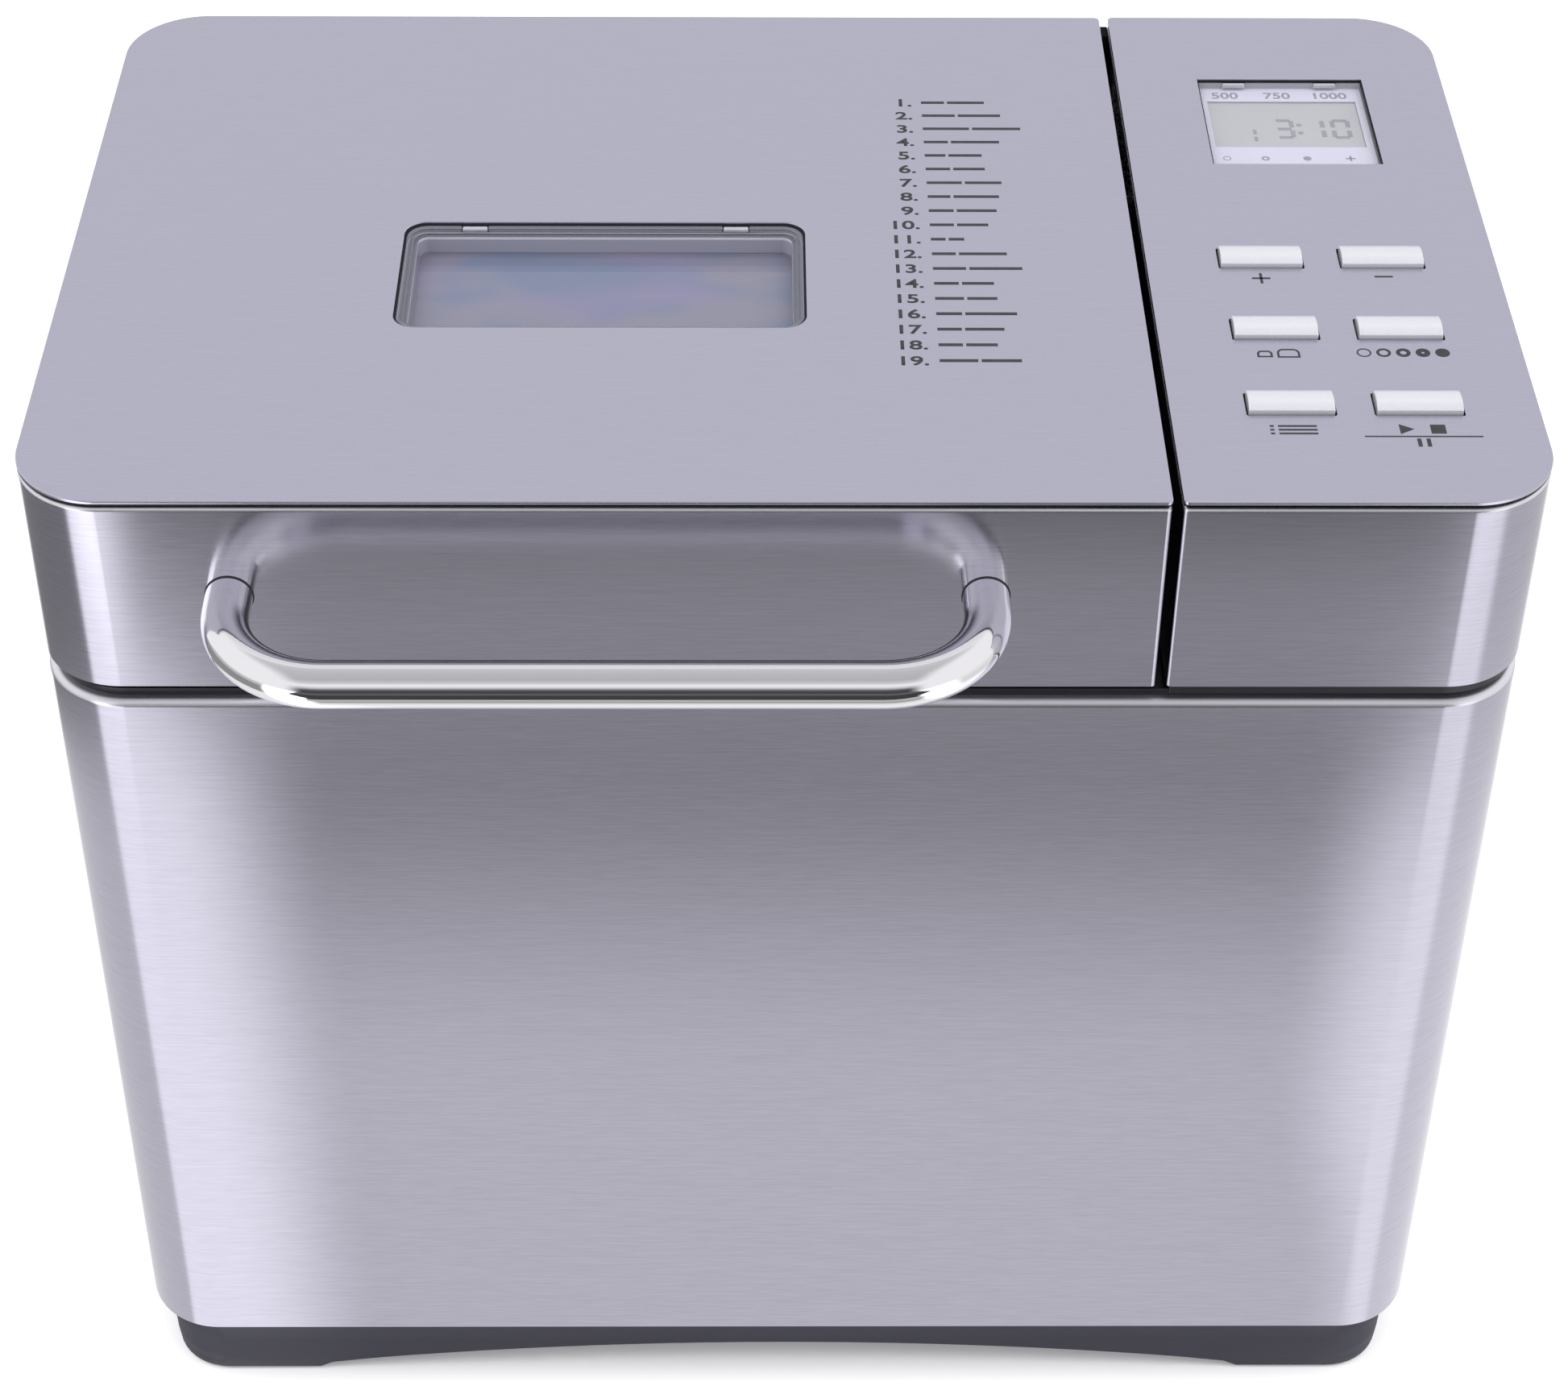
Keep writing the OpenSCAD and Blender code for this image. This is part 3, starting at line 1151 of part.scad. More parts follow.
// Clear moulding in the lid window: flush rim, stepped wall and a lower pane
module window_lens() {
    fit = 0.25;
    rim_h = plate_z + plate_t - 0.8 - web_top;
    drop = 6.5;
    color([0.75, 0.78, 0.9, 0.35]) translate([lid_mid, window_mid_y, web_top]) difference() {
        union() {
            linear_extrude(rim_h) centred(0, 0, window_w - 2 * fit, window_d - 2 * fit, window_r - fit);
            translate([0, 0, -drop]) linear_extrude(drop + 1) centred(0, 0, window_w - 2 * (lens_ledge + fit),
                window_d - 2 * (lens_ledge + fit), window_r - lens_ledge - fit);
        }
        translate([0, 0, -drop + 2]) linear_extrude(20) centred(0, 0, window_w - 2 * (lens_ledge + fit) - 3,
            window_d - 2 * (lens_ledge + fit) - 3, 1);
        for (x = [-0.33, 0.33]) translate([x * window_w - 3.4, window_d / 2 - 1.6, 0.8]) cube([6.8, 3, 5]);
    }
}

module window_glass() {
    color([0.6, 0.6, 0.75, 0.35]) translate([0, 0, liner_top]) linear_extrude(glass_t)
        centred(lid_mid, window_mid_y, window_w + 10, window_d + 10, window_r + 2);
}

module lid_seal() {
    color([0.2, 0.2, 0.2]) translate([0, 0, deck_top + seat]) linear_extrude(liner_z - deck_top - seat) difference() {
        centred(chamber_x, chamber_y, chamber_w + 16, chamber_d + 16, chamber_r + 8);
        centred(chamber_x, chamber_y, chamber_w + 6, chamber_d + 6, chamber_r + 3);
    }
}

module lid_handle() {
    b = handle_bend;
    color(bright) translate([0, 0, handle_z]) difference() {
        union() {
            for (x = handle_xs) rod_y(x, handle_bar_y + b, front, handle_r);
            bend(handle_xs[0] + b, handle_bar_y + b, b, 180, handle_r);
            bend(handle_xs[1] - b, handle_bar_y + b, b, 270, handle_r);
            rod_x(handle_xs[0] + b, handle_xs[1] - b, handle_bar_y, handle_r);
        }
        for (x = handle_xs) translate([x, front + past, 0]) rotate([90, 0, 0]) cylinder(r = 2 + snug, h = 7);
    }
}

module lid_screws() {
    color(bright) {
        for (x = handle_xs) translate([x, front + boss_out, handle_z]) rotate([90, 0, 0]) screw(2, boss_out + 5);
        for (p = boss_at) translate([p[0], p[1], liner_top - sheet]) screw(1.5, 8);
    }
}

module hinge_pins() {
    half = notch_half + knuckle_w;
    color(bright) for (x = hinge_xs) translate([x - half, hinge_y, hinge_z]) rotate([0, 90, 0])
        cylinder(r = hinge_pin_r, h = 2 * half);
}

base();
rubber_feet();
housing_screws();
body_wrap();
rear_panel();
cable_gland();
deck();
baking_chamber();
chamber_spacers();
heating_element();
element_clips();
temperature_sensor();
pan_seat();
pan_clips();
drive_bracket();
bearing_housing();
bearing_bushes();
drive_belt();
motor_stator();
motor_frames();
motor_screws();
capacitor();
power_board();
ribbon_cable();
panel_carrier();
panel_skirt();
panel_plate();
control_board();
display_module();
display_lens();
drive_shaft();
drive_dog();
large_pulley();
shaft_nut();
motor_rotor();
small_pulley();
bread_pan();
pan_collar();
pan_bush();
pan_ears();
pan_bail();
pan_shaft();
shaft_seal();
kneading_paddle();
lid_plate();
lid_skirt();
lid_frame();
lid_liner();
window_lens();
window_glass();
lid_seal();
lid_handle();
lid_screws();
hinge_pins();
button(button_xs[0], button_ys[2]);  // button_plus
button(button_xs[1], button_ys[2]);  // button_minus
button(button_xs[0], button_ys[1]);  // button_loaf
button(button_xs[1], button_ys[1]);  // button_crust
button(button_xs[0], button_ys[0]);  // button_menu
button(button_xs[1], button_ys[0]);  // button_start
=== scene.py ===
"""Countertop bread machine: brushed steel housing, hinged lid with window and tube handle, and a key panel."""

# ---- Frame and camera ----
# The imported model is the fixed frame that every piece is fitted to, and MM turns millimetres into metres.
# The camera stands in front of the machine and looks down on it at about 40 degrees.
from math import pi, radians

import bmesh
import bpy
from mathutils import Matrix, Vector


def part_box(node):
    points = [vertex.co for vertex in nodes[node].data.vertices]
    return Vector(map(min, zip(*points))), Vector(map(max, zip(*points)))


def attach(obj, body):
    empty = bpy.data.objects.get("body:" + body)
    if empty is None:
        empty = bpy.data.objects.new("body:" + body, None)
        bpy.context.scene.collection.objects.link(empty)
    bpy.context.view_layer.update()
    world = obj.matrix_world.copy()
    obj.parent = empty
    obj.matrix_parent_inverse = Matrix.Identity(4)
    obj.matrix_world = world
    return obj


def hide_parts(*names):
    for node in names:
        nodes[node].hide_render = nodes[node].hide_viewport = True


MM = 0.001
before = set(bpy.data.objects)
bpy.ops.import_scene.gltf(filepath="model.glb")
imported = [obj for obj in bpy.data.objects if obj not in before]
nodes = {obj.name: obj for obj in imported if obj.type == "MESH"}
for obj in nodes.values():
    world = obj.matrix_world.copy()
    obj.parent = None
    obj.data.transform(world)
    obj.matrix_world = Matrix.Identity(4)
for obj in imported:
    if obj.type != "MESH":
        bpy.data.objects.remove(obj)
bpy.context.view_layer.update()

FOCAL_LENGTH = 78.69
EYE = Vector((-7.769, -724.228, 791.467)) * MM
PITCH, YAW, ROLL = radians(40.1325), radians(0.6914), radians(0.4705)

bpy.ops.object.select_all(action="DESELECT")
bpy.ops.object.camera_add(location=EYE)
camera = bpy.context.object
camera.matrix_world = (Matrix.Translation(EYE) @ Matrix.Rotation(-YAW, 4, "Z")
                       @ Matrix.Rotation(pi / 2 - PITCH, 4, "X") @ Matrix.Rotation(ROLL, 4, "Z"))
camera.data.lens = FOCAL_LENGTH
camera.data.sensor_width = 36
camera.data.clip_start = 0.05
bpy.context.scene.camera = camera
bpy.context.scene.view_settings.view_transform = "Standard"


# ---- Finishes ----
# A Network is the nodes of one material or of the room round the machine, and a Finish is one material.
# A Wire is one socket in a network, and arithmetic on wires adds Math nodes.
class Wire:
    def __init__(self, network, socket):
        self.network, self.socket = network, socket

    def _math(self, operation, *values):
        return self.network.node("ShaderNodeMath", {"operation": operation}, dict(enumerate(values)))

    def __add__(self, other):
        return self._math("ADD", self, other)

    def __sub__(self, other):
        return self._math("SUBTRACT", self, other)

    def __rsub__(self, other):
        return self._math("SUBTRACT", other, self)

    def __mul__(self, other):
        return self._math("MULTIPLY", self, other)

    def __truediv__(self, other):
        return self._math("DIVIDE", self, other)

    def __pow__(self, other):
        return self._math("POWER", self, other)

    __radd__ = __add__
    __rmul__ = __mul__

    def span(self, low, high, to_low=0.0, to_high=1.0):
        """Maps low..high to to_low..to_high with soft ends."""
        return self.network.node("ShaderNodeMapRange", {"interpolation_type": "SMOOTHSTEP"},
                                 {"Value": self, "From Min": low, "From Max": high,
                                  "To Min": to_low, "To Max": to_high})

    def between(self, start, full, fade, end):
        """1 from full to fade, with soft edges down to 0 at start and at end."""
        return self.span(start, full) * self.span(fade, end, 1, 0)


class Network:
    def __init__(self, tree):
        self.tree = tree

    def join(self, socket, value):
        if isinstance(value, Wire):
            self.tree.links.new(value.socket, socket)
        else:
            socket.default_value = value

    def node(self, kind, settings=None, inputs=None, output=0):
        made = self.tree.nodes.new(kind)
        for key, value in (settings or {}).items():
            if key == "stops":
                while len(made.color_ramp.elements) < len(value):
                    made.color_ramp.elements.new(1.0)
                for element, (position, colour) in zip(made.color_ramp.elements, value):
                    element.position, element.color = position, colour
            else:
                setattr(made, key, value)
        for key, value in (inputs or {}).items():
            self.join(made.inputs[key], value)
        return Wire(self, made.outputs[output])

    def mix(self, share, first, second):
        """A colour between first and second."""
        node = self.tree.nodes.new("ShaderNodeMix")
        node.data_type = "RGBA"
        for socket, value in ((node.inputs[0], share), (node.inputs[6], first), (node.inputs[7], second)):
            self.join(socket, value)
        return Wire(self, node.outputs[2])


class Finish(Network):
    def __init__(self, name, **sockets):
        self.material = bpy.data.materials.new(name)
        self.material.use_nodes = True
        super().__init__(self.material.node_tree)
        self.surface = self.tree.nodes["Principled BSDF"]
        self.set(**sockets)

    def set(self, **sockets):
        """Sets or links sockets of the surface: base_color is the socket Base Color."""
        for key, value in sockets.items():
            self.join(self.surface.inputs[key.replace("_", " ").title().replace("Ior", "IOR")], value)

    def place(self, scale=(1, 1, 1), turn=(0, 0, 0)):
        """The point on the piece in metres, stretched by scale."""
        point = self.node("ShaderNodeTexCoord", output="Object")
        return self.node("ShaderNodeMapping", {}, {"Vector": point, "Scale": scale, "Rotation": turn})

    def axis(self, letter):
        """One coordinate of the point on the piece, in metres."""
        point = self.node("ShaderNodeTexCoord", output="Object")
        return self.node("ShaderNodeSeparateXYZ", {}, {"Vector": point}, letter)

    def noise(self, scale, detail=2.0, turn=(0, 0, 0)):
        """Noise from 0 to 1 with one grain per 1 / scale metres along each axis."""
        return self.node("ShaderNodeTexNoise", {}, {"Vector": self.place(scale, turn), "Scale": 1.0,
                                                    "Detail": detail})

    def speckle(self, fineness, first, second, detail=2.0):
        """Two colours mixed in even specks, with fineness specks to a metre."""
        return self.mix(self.noise((fineness,) * 3, detail), first, second)

    def uneven(self, fineness, low, high, detail=2.0):
        """A number that wanders between low and high."""
        return self.noise((fineness,) * 3, detail).span(0.3, 0.7, low, high)

    def bump(self, height, depth, strength=1.0):
        """Raises the surface by up to depth metres where height is 1."""
        self.set(normal=self.node("ShaderNodeBump", {}, {"Strength": strength, "Distance": depth,
                                                         "Height": height}))


def shade(red, green, blue):
    return (red, green, blue, 1.0)


# ---- Stage ----
# A pale floor under soft studio light. What the steel mirrors is a second floor that only reflections see:
# pale round the machine, darker in front of it and at its sides, with a bright band beside each corner.
# Its distances are in metres from the front face, and its angles are turned outwards from straight ahead.
FLOOR_SIZE = 8.0


def deselect():
    """Leaves edit mode with nothing selected."""
    if bpy.context.mode != "OBJECT":
        bpy.ops.object.mode_set(mode="OBJECT")
    bpy.ops.object.select_all(action="DESELECT")


def settle():
    """Puts the place, turn and size of what is selected into its mesh."""
    bpy.ops.object.transform_apply(location=True, rotation=True, scale=True)


def stage_plane(name, height, finish):
    """A floor at the given height, which isn't part of the machine."""
    deselect()
    bpy.ops.mesh.primitive_plane_add(size=FLOOR_SIZE, location=(0, 0, height))
    plane = bpy.context.object
    plane.name = name
    settle()
    plane.data.materials.append(finish.material)
    return plane


pale_floor = Finish("pale_floor", roughness=0.9, specular_ior_level=0.1, emission_color=shade(1, 1, 1),
                    emission_strength=0.12)
pale_floor.set(base_color=pale_floor.speckle(3, shade(0.95, 0.95, 0.955), shade(0.97, 0.97, 0.975)))
stage_plane("floor", 0, pale_floor)

FACE_Y = -0.094          # front face of the machine
EYE_AHEAD = 0.63         # distance of the eye in front of that face
CORNER_X, CORNER_Y = 0.160, -0.085      # a place inside each front corner, which the angles turn about
MIRROR_HEIGHT = 0.4 * MM
NEAR_TONE, MIDDLE_TONE, FAR_TONE, BAND_TONE = 0.91, 0.345, 0.05, 1.55

mirrored = Finish("mirrored_floor", base_color=shade(0, 0, 0), specular_ior_level=0.0, roughness=1.0,
                  emission_strength=1.0)
floor_x = mirrored.axis("X")
floor_y = mirrored.axis("Y")
ahead = FACE_Y - floor_y
spread = 1 + ahead * (1 / EYE_AHEAD)
middle = (NEAR_TONE - ahead.span(0.12, 0.285, 0, NEAR_TONE - MIDDLE_TONE) + ahead.span(0.285, 0.335, 0, 0.215)
          - ahead.span(0.38, 0.45, 0, MIDDLE_TONE + 0.215 - FAR_TONE) + ahead.span(0.9, 1.8, 0, 0.08))
outward = ahead.span(0.45, 0.8, 0, 0.12)
left_start = 0.112 + ahead.span(0.27, 0.34, 0, 0.037) + outward
left_band = (floor_x * -1 / spread).span(left_start, left_start * 0.125 + 0.138 + outward * 0.9)
right_start = 0.146 - ahead.span(0.03, 0.12, 0, 0.015) + ahead.span(0.22, 0.34, 0, 0.024) + outward
right_band = (floor_x / spread).span(right_start, right_start + 0.032)
band_tone = BAND_TONE + ahead.span(0.30, 0.40, 0, 0.80)
front_tone = middle + (band_tone - middle) * (left_band + right_band * (0.80 - ahead.span(0.30, 0.40, 0, 0.20)))


def side_tone(way, ramp, edge, silhouette, distant):
    """Tone to one side of the machine; way is -1 on the left and 1 on the right.

    ramp is the tone over the distance from the corner, edge the angles where the front's tone gives way to it,
    silhouette the tone behind the corner, and distant what is added far off.
    """
    out = floor_x * way - CORNER_X
    forward = CORNER_Y - floor_y
    angle = mirrored.node("ShaderNodeMath", {"operation": "ARCTAN2"}, {0: out, 1: forward})
    distance = (out * out + forward * forward) ** 0.5
    beside = distance.span(*ramp) + distance.span(0.8, 1.5, 0, distant)
    turned = angle.span(radians(edge[0]), radians(edge[1]))
    behind = angle.span(radians(SILHOUETTE_FROM), radians(SILHOUETTE_TO))
    tone = front_tone + (beside - front_tone) * turned
    return tone + (silhouette - tone) * behind


SILHOUETTE_FROM, SILHOUETTE_TO = 138, 150
left_tone = side_tone(-1, ramp=(0.27, 0.335, 0.88, 0.28), edge=(47, 54), silhouette=1.7, distant=0.3)
right_tone = side_tone(1, ramp=(0.2, 0.42, 1.09, 0.75), edge=(50, 64), silhouette=1.2, distant=0.1)
on_right = floor_x.span(-0.01, 0.01)
around = left_tone + (right_tone - left_tone) * on_right
mirrored.set(emission_color=around + (1.0 - around) * floor_y.span(0.5, 0.8))
mirror_floor = stage_plane("mirror_floor", MIRROR_HEIGHT, mirrored)
mirror_floor.visible_camera = mirror_floor.visible_diffuse = mirror_floor.visible_shadow = False
mirror_floor.visible_transmission = mirror_floor.visible_volume_scatter = False

# The room: a dark horizon in front, a bright window above it, a grey ceiling, a pale wall behind and bright side
# walls. Each row is an angle up from the horizon in front, in degrees, and the tone there.
SKY = ((0, 0.06), (11, 0.08), (18, 0.36), (24, 0.66), (30, 0.90), (36, 0.94), (46, 0.64), (60, 0.50),
       (95, 0.55), (116, 0.62), (123, 0.84), (130, 0.80), (140, 0.76), (180, 0.76))
world = bpy.data.worlds.new("studio")
bpy.context.scene.world = world
world.use_nodes = True
room = Network(world.node_tree)
direction = room.node("ShaderNodeTexCoord", output="Generated")
sideways, backward, upward = [room.node("ShaderNodeSeparateXYZ", {}, {"Vector": direction}, letter)
                              for letter in "XYZ"]
climb = room.node("ShaderNodeMath", {"operation": "ARCTAN2"}, {0: upward, 1: backward * -1})
sky = room.node("ShaderNodeValToRGB", {"stops": [(angle / 180, shade(tone * 0.975, tone * 0.98, tone + 0.012))
                                                 for angle, tone in SKY]}, {"Fac": climb * (1 / pi)})
side_wall = ((sideways * sideways) ** 0.5).span(0.35, 0.60)
background = world.node_tree.nodes["Background"]
room.join(background.inputs["Color"], room.mix(side_wall, sky, shade(0.92, 0.92, 0.935)))
background.inputs["Strength"].default_value = 1.0


def soft_light(name, place, aim, size, power):
    """A large soft light that reflections don't see."""
    deselect()
    bpy.ops.object.light_add(type="AREA", location=place)
    light = bpy.context.object
    light.name = name
    light.data.shape = "RECTANGLE"
    light.data.size, light.data.size_y = size
    light.data.energy = power
    light.visible_glossy = False
    light.rotation_euler = (Vector(aim) - Vector(place)).to_track_quat("-Z", "Y").to_euler()


soft_light("overhead", (0, -0.1, 1.6), (0, 0, 0.1), (2.4, 2.0), 25)
soft_light("left_strip", (-1.1, -0.35, 0.7), (0, 0, 0.15), (0.5, 1.2), 5)
soft_light("right_strip", (1.1, -0.35, 0.7), (0, 0, 0.15), (0.5, 1.2), 5)


# ---- Steel wrap ----
# One sheet of brushed stainless steel, bent round four upright corners and closed at the back by the rear
# panel. Its upper edge is rolled inwards and its lower edge is cut square above the base.
def block(name, low, high):
    """A box from its lowest to its highest corner, ready to be shaped."""
    deselect()
    low, high = Vector(low), Vector(high)
    bpy.ops.mesh.primitive_cube_add(size=1, location=(low + high) / 2, scale=high - low)
    piece = bpy.context.object
    piece.name = name
    settle()
    return piece


def take(piece):
    """Selects one piece alone and makes it the active one."""
    deselect()
    piece.select_set(True)
    bpy.context.view_layer.objects.active = piece


def edit(piece):
    """Opens a piece in edit mode with nothing selected."""
    take(piece)
    bpy.ops.object.mode_set(mode="EDIT")
    bpy.ops.mesh.select_mode(type="EDGE")
    bpy.ops.mesh.select_all(action="DESELECT")


def pick(piece, kind, test):
    """Selects the verts, edges or faces of a piece in edit mode whose middle and direction pass the test."""
    bpy.ops.mesh.select_mode(type={"verts": "VERT", "edges": "EDGE", "faces": "FACE"}[kind])
    bpy.ops.mesh.select_all(action="DESELECT")
    mesh = bmesh.from_edit_mesh(piece.data)
    mesh.normal_update()
    for item in getattr(mesh, kind):
        if kind == "verts":
            chosen = test(item.co, item.normal)
        elif kind == "edges":
            ends = [v.co for v in item.verts]
            chosen = test((ends[0] + ends[1]) / 2, (ends[1] - ends[0]).normalized())
        else:
            chosen = test(item.calc_center_bounds(), item.normal)
        item.select_set(chosen)
    mesh.select_flush_mode()
    bmesh.update_edit_mesh(piece.data)


def round_off(radius, steps):
    """Rounds the selected edges of the piece in edit mode."""
    bpy.ops.mesh.bevel(offset=radius, offset_type="OFFSET", segments=steps, profile=0.5, affect="EDGES")


NEAR = 0.01 * MM                     # two places this close are the same
SMALL_R, SMALL_STEPS = 4 * MM, 6     # a corner up to this radius needs no more steps than these


def rounded_block(name, low, high, left_r, right_r, steps=20):
    """A block with its upright edges rounded, with one radius on its left and one on its right."""
    piece = block(name, low, high)
    edit(piece)
    for x, radius in ((low[0], left_r), (high[0], right_r)):
        if radius > 0:
            pick(piece, "edges", lambda mid, way: abs(way.z) > 0.9 and abs(mid.x - x) < NEAR)
            round_off(radius, steps if radius > SMALL_R else SMALL_STEPS)
    deselect()
    return piece


def modify(piece, kind, **settings):
    """Adds a modifier and applies it."""
    take(piece)
    modifier = piece.modifiers.new(kind.lower(), kind)
    for key, value in settings.items():
        setattr(modifier, key, value)
    bpy.ops.object.modifier_apply(modifier=modifier.name)


def combine(piece, operation, others):
    """Makes one solid of the piece and each of the others, and deletes the others."""
    for other in others:
        modify(piece, "BOOLEAN", operation=operation, solver="EXACT", object=other)
        bpy.data.objects.remove(other)


def cut(piece, cutters):
    combine(piece, "DIFFERENCE", cutters)


def smooth(piece, angle=30, even=True):
    """Shades curved stretches smooth and keeps flat faces flat."""
    take(piece)
    bpy.ops.object.shade_smooth_by_angle(angle=radians(angle))
    if even:
        modify(piece, "WEIGHTED_NORMAL", keep_sharp=True, weight=80)


def finish_piece(piece, finish, slot, body, *replaced):
    """Gives the piece its finish and its body, and hides the nodes it stands for."""
    piece.data.materials.clear()
    piece.data.materials.append(finish.material)
    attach(piece, body)
    if replaced:
        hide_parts(*replaced)


# A fine dark band is painted round the wall under the top plates and on the lower part of the plates' edges: painted
# shade in the gap there. The rolled edges of the wrap and of the two skirts are painted paler: a painted highlight
# on each roll. Each row is the height where that starts, is full, fades and ends.
GAP_SHADE_BAND = (0.31625, 0.31635, 0.31715, 0.31725)
ROLLED_EDGES = ((0.2560, 0.2567, 0.2585, 0.2590), (0.3150, 0.3153, 0.3162, 0.3165))
GAP_SHADE_DARK, HIGHLIGHT_PALE = (0.012, 0.012, 0.015), (0.95, 0.94, 0.99)
SCRATCH = 0.002 * MM


def brushed_steel(name, grain, tint, rough, contrast, **sockets):
    """Stainless steel with fine straight grain; grain is one over the length of a scratch on X, Y and Z."""
    steel = Finish(name, metallic=1.0, **sockets)
    dash = steel.noise(grain, 2.0)
    faint = steel.noise(tuple(g * 0.45 for g in grain), 1.0)
    cloud = steel.noise((7, 7, 7), 2.0)
    tone = dash * 0.7 + faint * 0.3
    light, dark = [shade(*(c * k for c in tint)) for k in (1 + contrast, 1 - contrast)]
    height = steel.axis("Z")
    # The rolled edges are painted paler, a painted highlight on each roll, and they are also made rougher.
    highlighted_roll = sum(height.between(*edge) for edge in ROLLED_EDGES)
    sheet = steel.mix(highlighted_roll * 0.75, steel.mix(tone.span(0.3, 0.7), dark, light), shade(*HIGHLIGHT_PALE))
    # Painted shade: the band under the top plates is painted nearly black.
    steel.set(base_color=steel.mix(height.between(*GAP_SHADE_BAND), sheet, shade(*GAP_SHADE_DARK)),
              roughness=rough + (dash - 0.5) * 0.035 + (cloud - 0.5) * 0.02 + highlighted_roll * 0.2)
    steel.bump(dash, SCRATCH, 0.03)
    return steel


STEEL = (0.600, 0.586, 0.690)
WALL_SHADE_SHARE = 0.80                    # painted shade: the upright walls take the tops' steel painted this much darker
SHADED_WALL_STEEL = tuple(c * WALL_SHADE_SHARE for c in STEEL)
wall_steel = brushed_steel("brushed_steel_wall", (130, 130, 4600), SHADED_WALL_STEEL, 0.15, 0.06,
                           anisotropic=0.8, anisotropic_rotation=0.25)

CORNER_R = 21 * MM
SHEET = 0.8 * MM
WRAP_ROLL = 2 * MM
WRAP_LIP = 3 * MM
REAR_OPENING = 296 * MM
wrap_low, wrap_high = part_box("body_wrap")


def open_shell(name, low, high, left_r, right_r, roll, lip):
    """A steel wall that runs round a rounded plan, with its upper edge rolled inwards over a lip."""
    lip_free = 20 * MM               # the middle of the top is this far or more from the lip
    piece = rounded_block(name, low, high, left_r, right_r)
    edit(piece)
    pick(piece, "faces", lambda mid, way: way.z < -0.9)
    bpy.ops.mesh.delete(type="FACE")
    pick(piece, "edges", lambda mid, way: mid.z > high[2] - NEAR)
    round_off(roll, 6)
    pick(piece, "faces", lambda mid, way: way.z > 0.999)
    bpy.ops.mesh.inset(thickness=lip, depth=0)
    pick(piece, "faces", lambda mid, way: way.z > 0.999 and abs(mid.x - (low[0] + high[0]) / 2) < lip_free
         and abs(mid.y - (low[1] + high[1]) / 2) < lip_free)
    bpy.ops.mesh.delete(type="FACE")
    modify(piece, "SOLIDIFY", thickness=SHEET, offset=-1, use_even_offset=True)
    return piece


body_wrap = open_shell("steel_wrap", wrap_low, wrap_high, CORNER_R, CORNER_R, WRAP_ROLL, WRAP_LIP)
cut(body_wrap, [block("rear_cut", (-REAR_OPENING / 2, wrap_high.y - 5 * MM, wrap_low.z - 5 * MM),
                      (REAR_OPENING / 2, wrap_high.y + 5 * MM, wrap_high.z - WRAP_ROLL - SHEET))])
smooth(body_wrap)
finish_piece(body_wrap, wall_steel, "brushed_steel", "housing", "body_wrap")

# ---- Lid skirt and panel skirt ----
# Two brushed steel walls that stand over the wrap with a dark gap between them. A black rubber block on the housing
# closes the gap at the back as painted shade, a dark piece where the gap is in shade. Each has its upper edge rolled
# in under the top plate, and the lid's skirt is notched at the back for the hinge ears.
SKIRT_ROLL = 1 * MM
GAP_R = 1.4 * MM
SKIRT_LIP = 0.3 * MM
EAR_NOTCH, EAR_NOTCH_UP = 14.8 * MM, 13.2 * MM
HINGE_XS = (-135.4 * MM, 44.6 * MM)
skirt_low, skirt_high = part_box("lid_skirt")
lid_skirt = open_shell("lid_steel_skirt", skirt_low, skirt_high, CORNER_R, GAP_R, SKIRT_ROLL, SKIRT_LIP)
cut(lid_skirt, [block("ear_cut", (x - EAR_NOTCH / 2, skirt_high.y - 7 * MM, skirt_low.z - 3 * MM),
                      (x + EAR_NOTCH / 2, skirt_high.y + 5 * MM, skirt_low.z + EAR_NOTCH_UP)) for x in HINGE_XS])
smooth(lid_skirt)
finish_piece(lid_skirt, wall_steel, "brushed_steel", "lid", "lid_skirt")

panel_low, panel_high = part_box("panel_skirt")
panel_skirt = open_shell("panel_steel_skirt", panel_low, panel_high, GAP_R, CORNER_R, SKIRT_ROLL, SKIRT_LIP)
smooth(panel_skirt)
finish_piece(panel_skirt, wall_steel, "brushed_steel", "housing", "panel_skirt")

# Painted shade: a black block fills the back of the gap so that the gap reads dark.
STOP_DEPTH, STOP_IN, STOP_R = 6 * MM, 0.6 * MM, 0.4 * MM
gap_shade_stop = rounded_block("gap_shade_stop",
                         (skirt_high.x + 0.2 * MM, panel_high.y - STOP_DEPTH, wrap_high.z + 0.5 * MM),
                         (panel_low.x + 0.05 * MM, panel_high.y - STOP_IN, panel_high.z - STOP_IN), STOP_R, STOP_R)
smooth(gap_shade_stop)
gap_shade_rubber = Finish("gap_stop_rubber", specular_ior_level=0.1, base_color=shade(0.008, 0.008, 0.01))
gap_shade_rubber.set(roughness=gap_shade_rubber.uneven(700, 0.7, 0.9))
finish_piece(gap_shade_stop, gap_shade_rubber, "rubber", "housing")

# ---- Top plates ----
# Flat brushed steel plates glued on the mouldings, which stand level with each other. The lid's has the window
# opening, and the panel's has six key slots and the display opening.
top_steel = brushed_steel("brushed_steel_top", (110, 4200, 60), STEEL, 0.27, 0.02)
WINDOW_R = 5.5 * MM
KEY_NAMES = ("plus", "minus", "loaf", "crust", "menu", "start")
KEY_WIDTH, KEY_DEPTH, KEY_R = 20.6 * MM, 8.4 * MM, 0.6 * MM
KEY_SLOT, LENS_SLOT, DISPLAY_FIT = 0.5 * MM, 0.45 * MM, 0.25 * MM
PLATE_EDGE = 0.3 * MM
plate_low, plate_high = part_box("lid_plate")
window_low, window_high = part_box("window_lens")


def break_edges(piece, width, steps=3, angle=50):
    """Gives every edge that turns more than that many degrees a small bevel."""
    modify(piece, "BEVEL", width=width, segments=steps, limit_method="ANGLE", angle_limit=radians(angle))


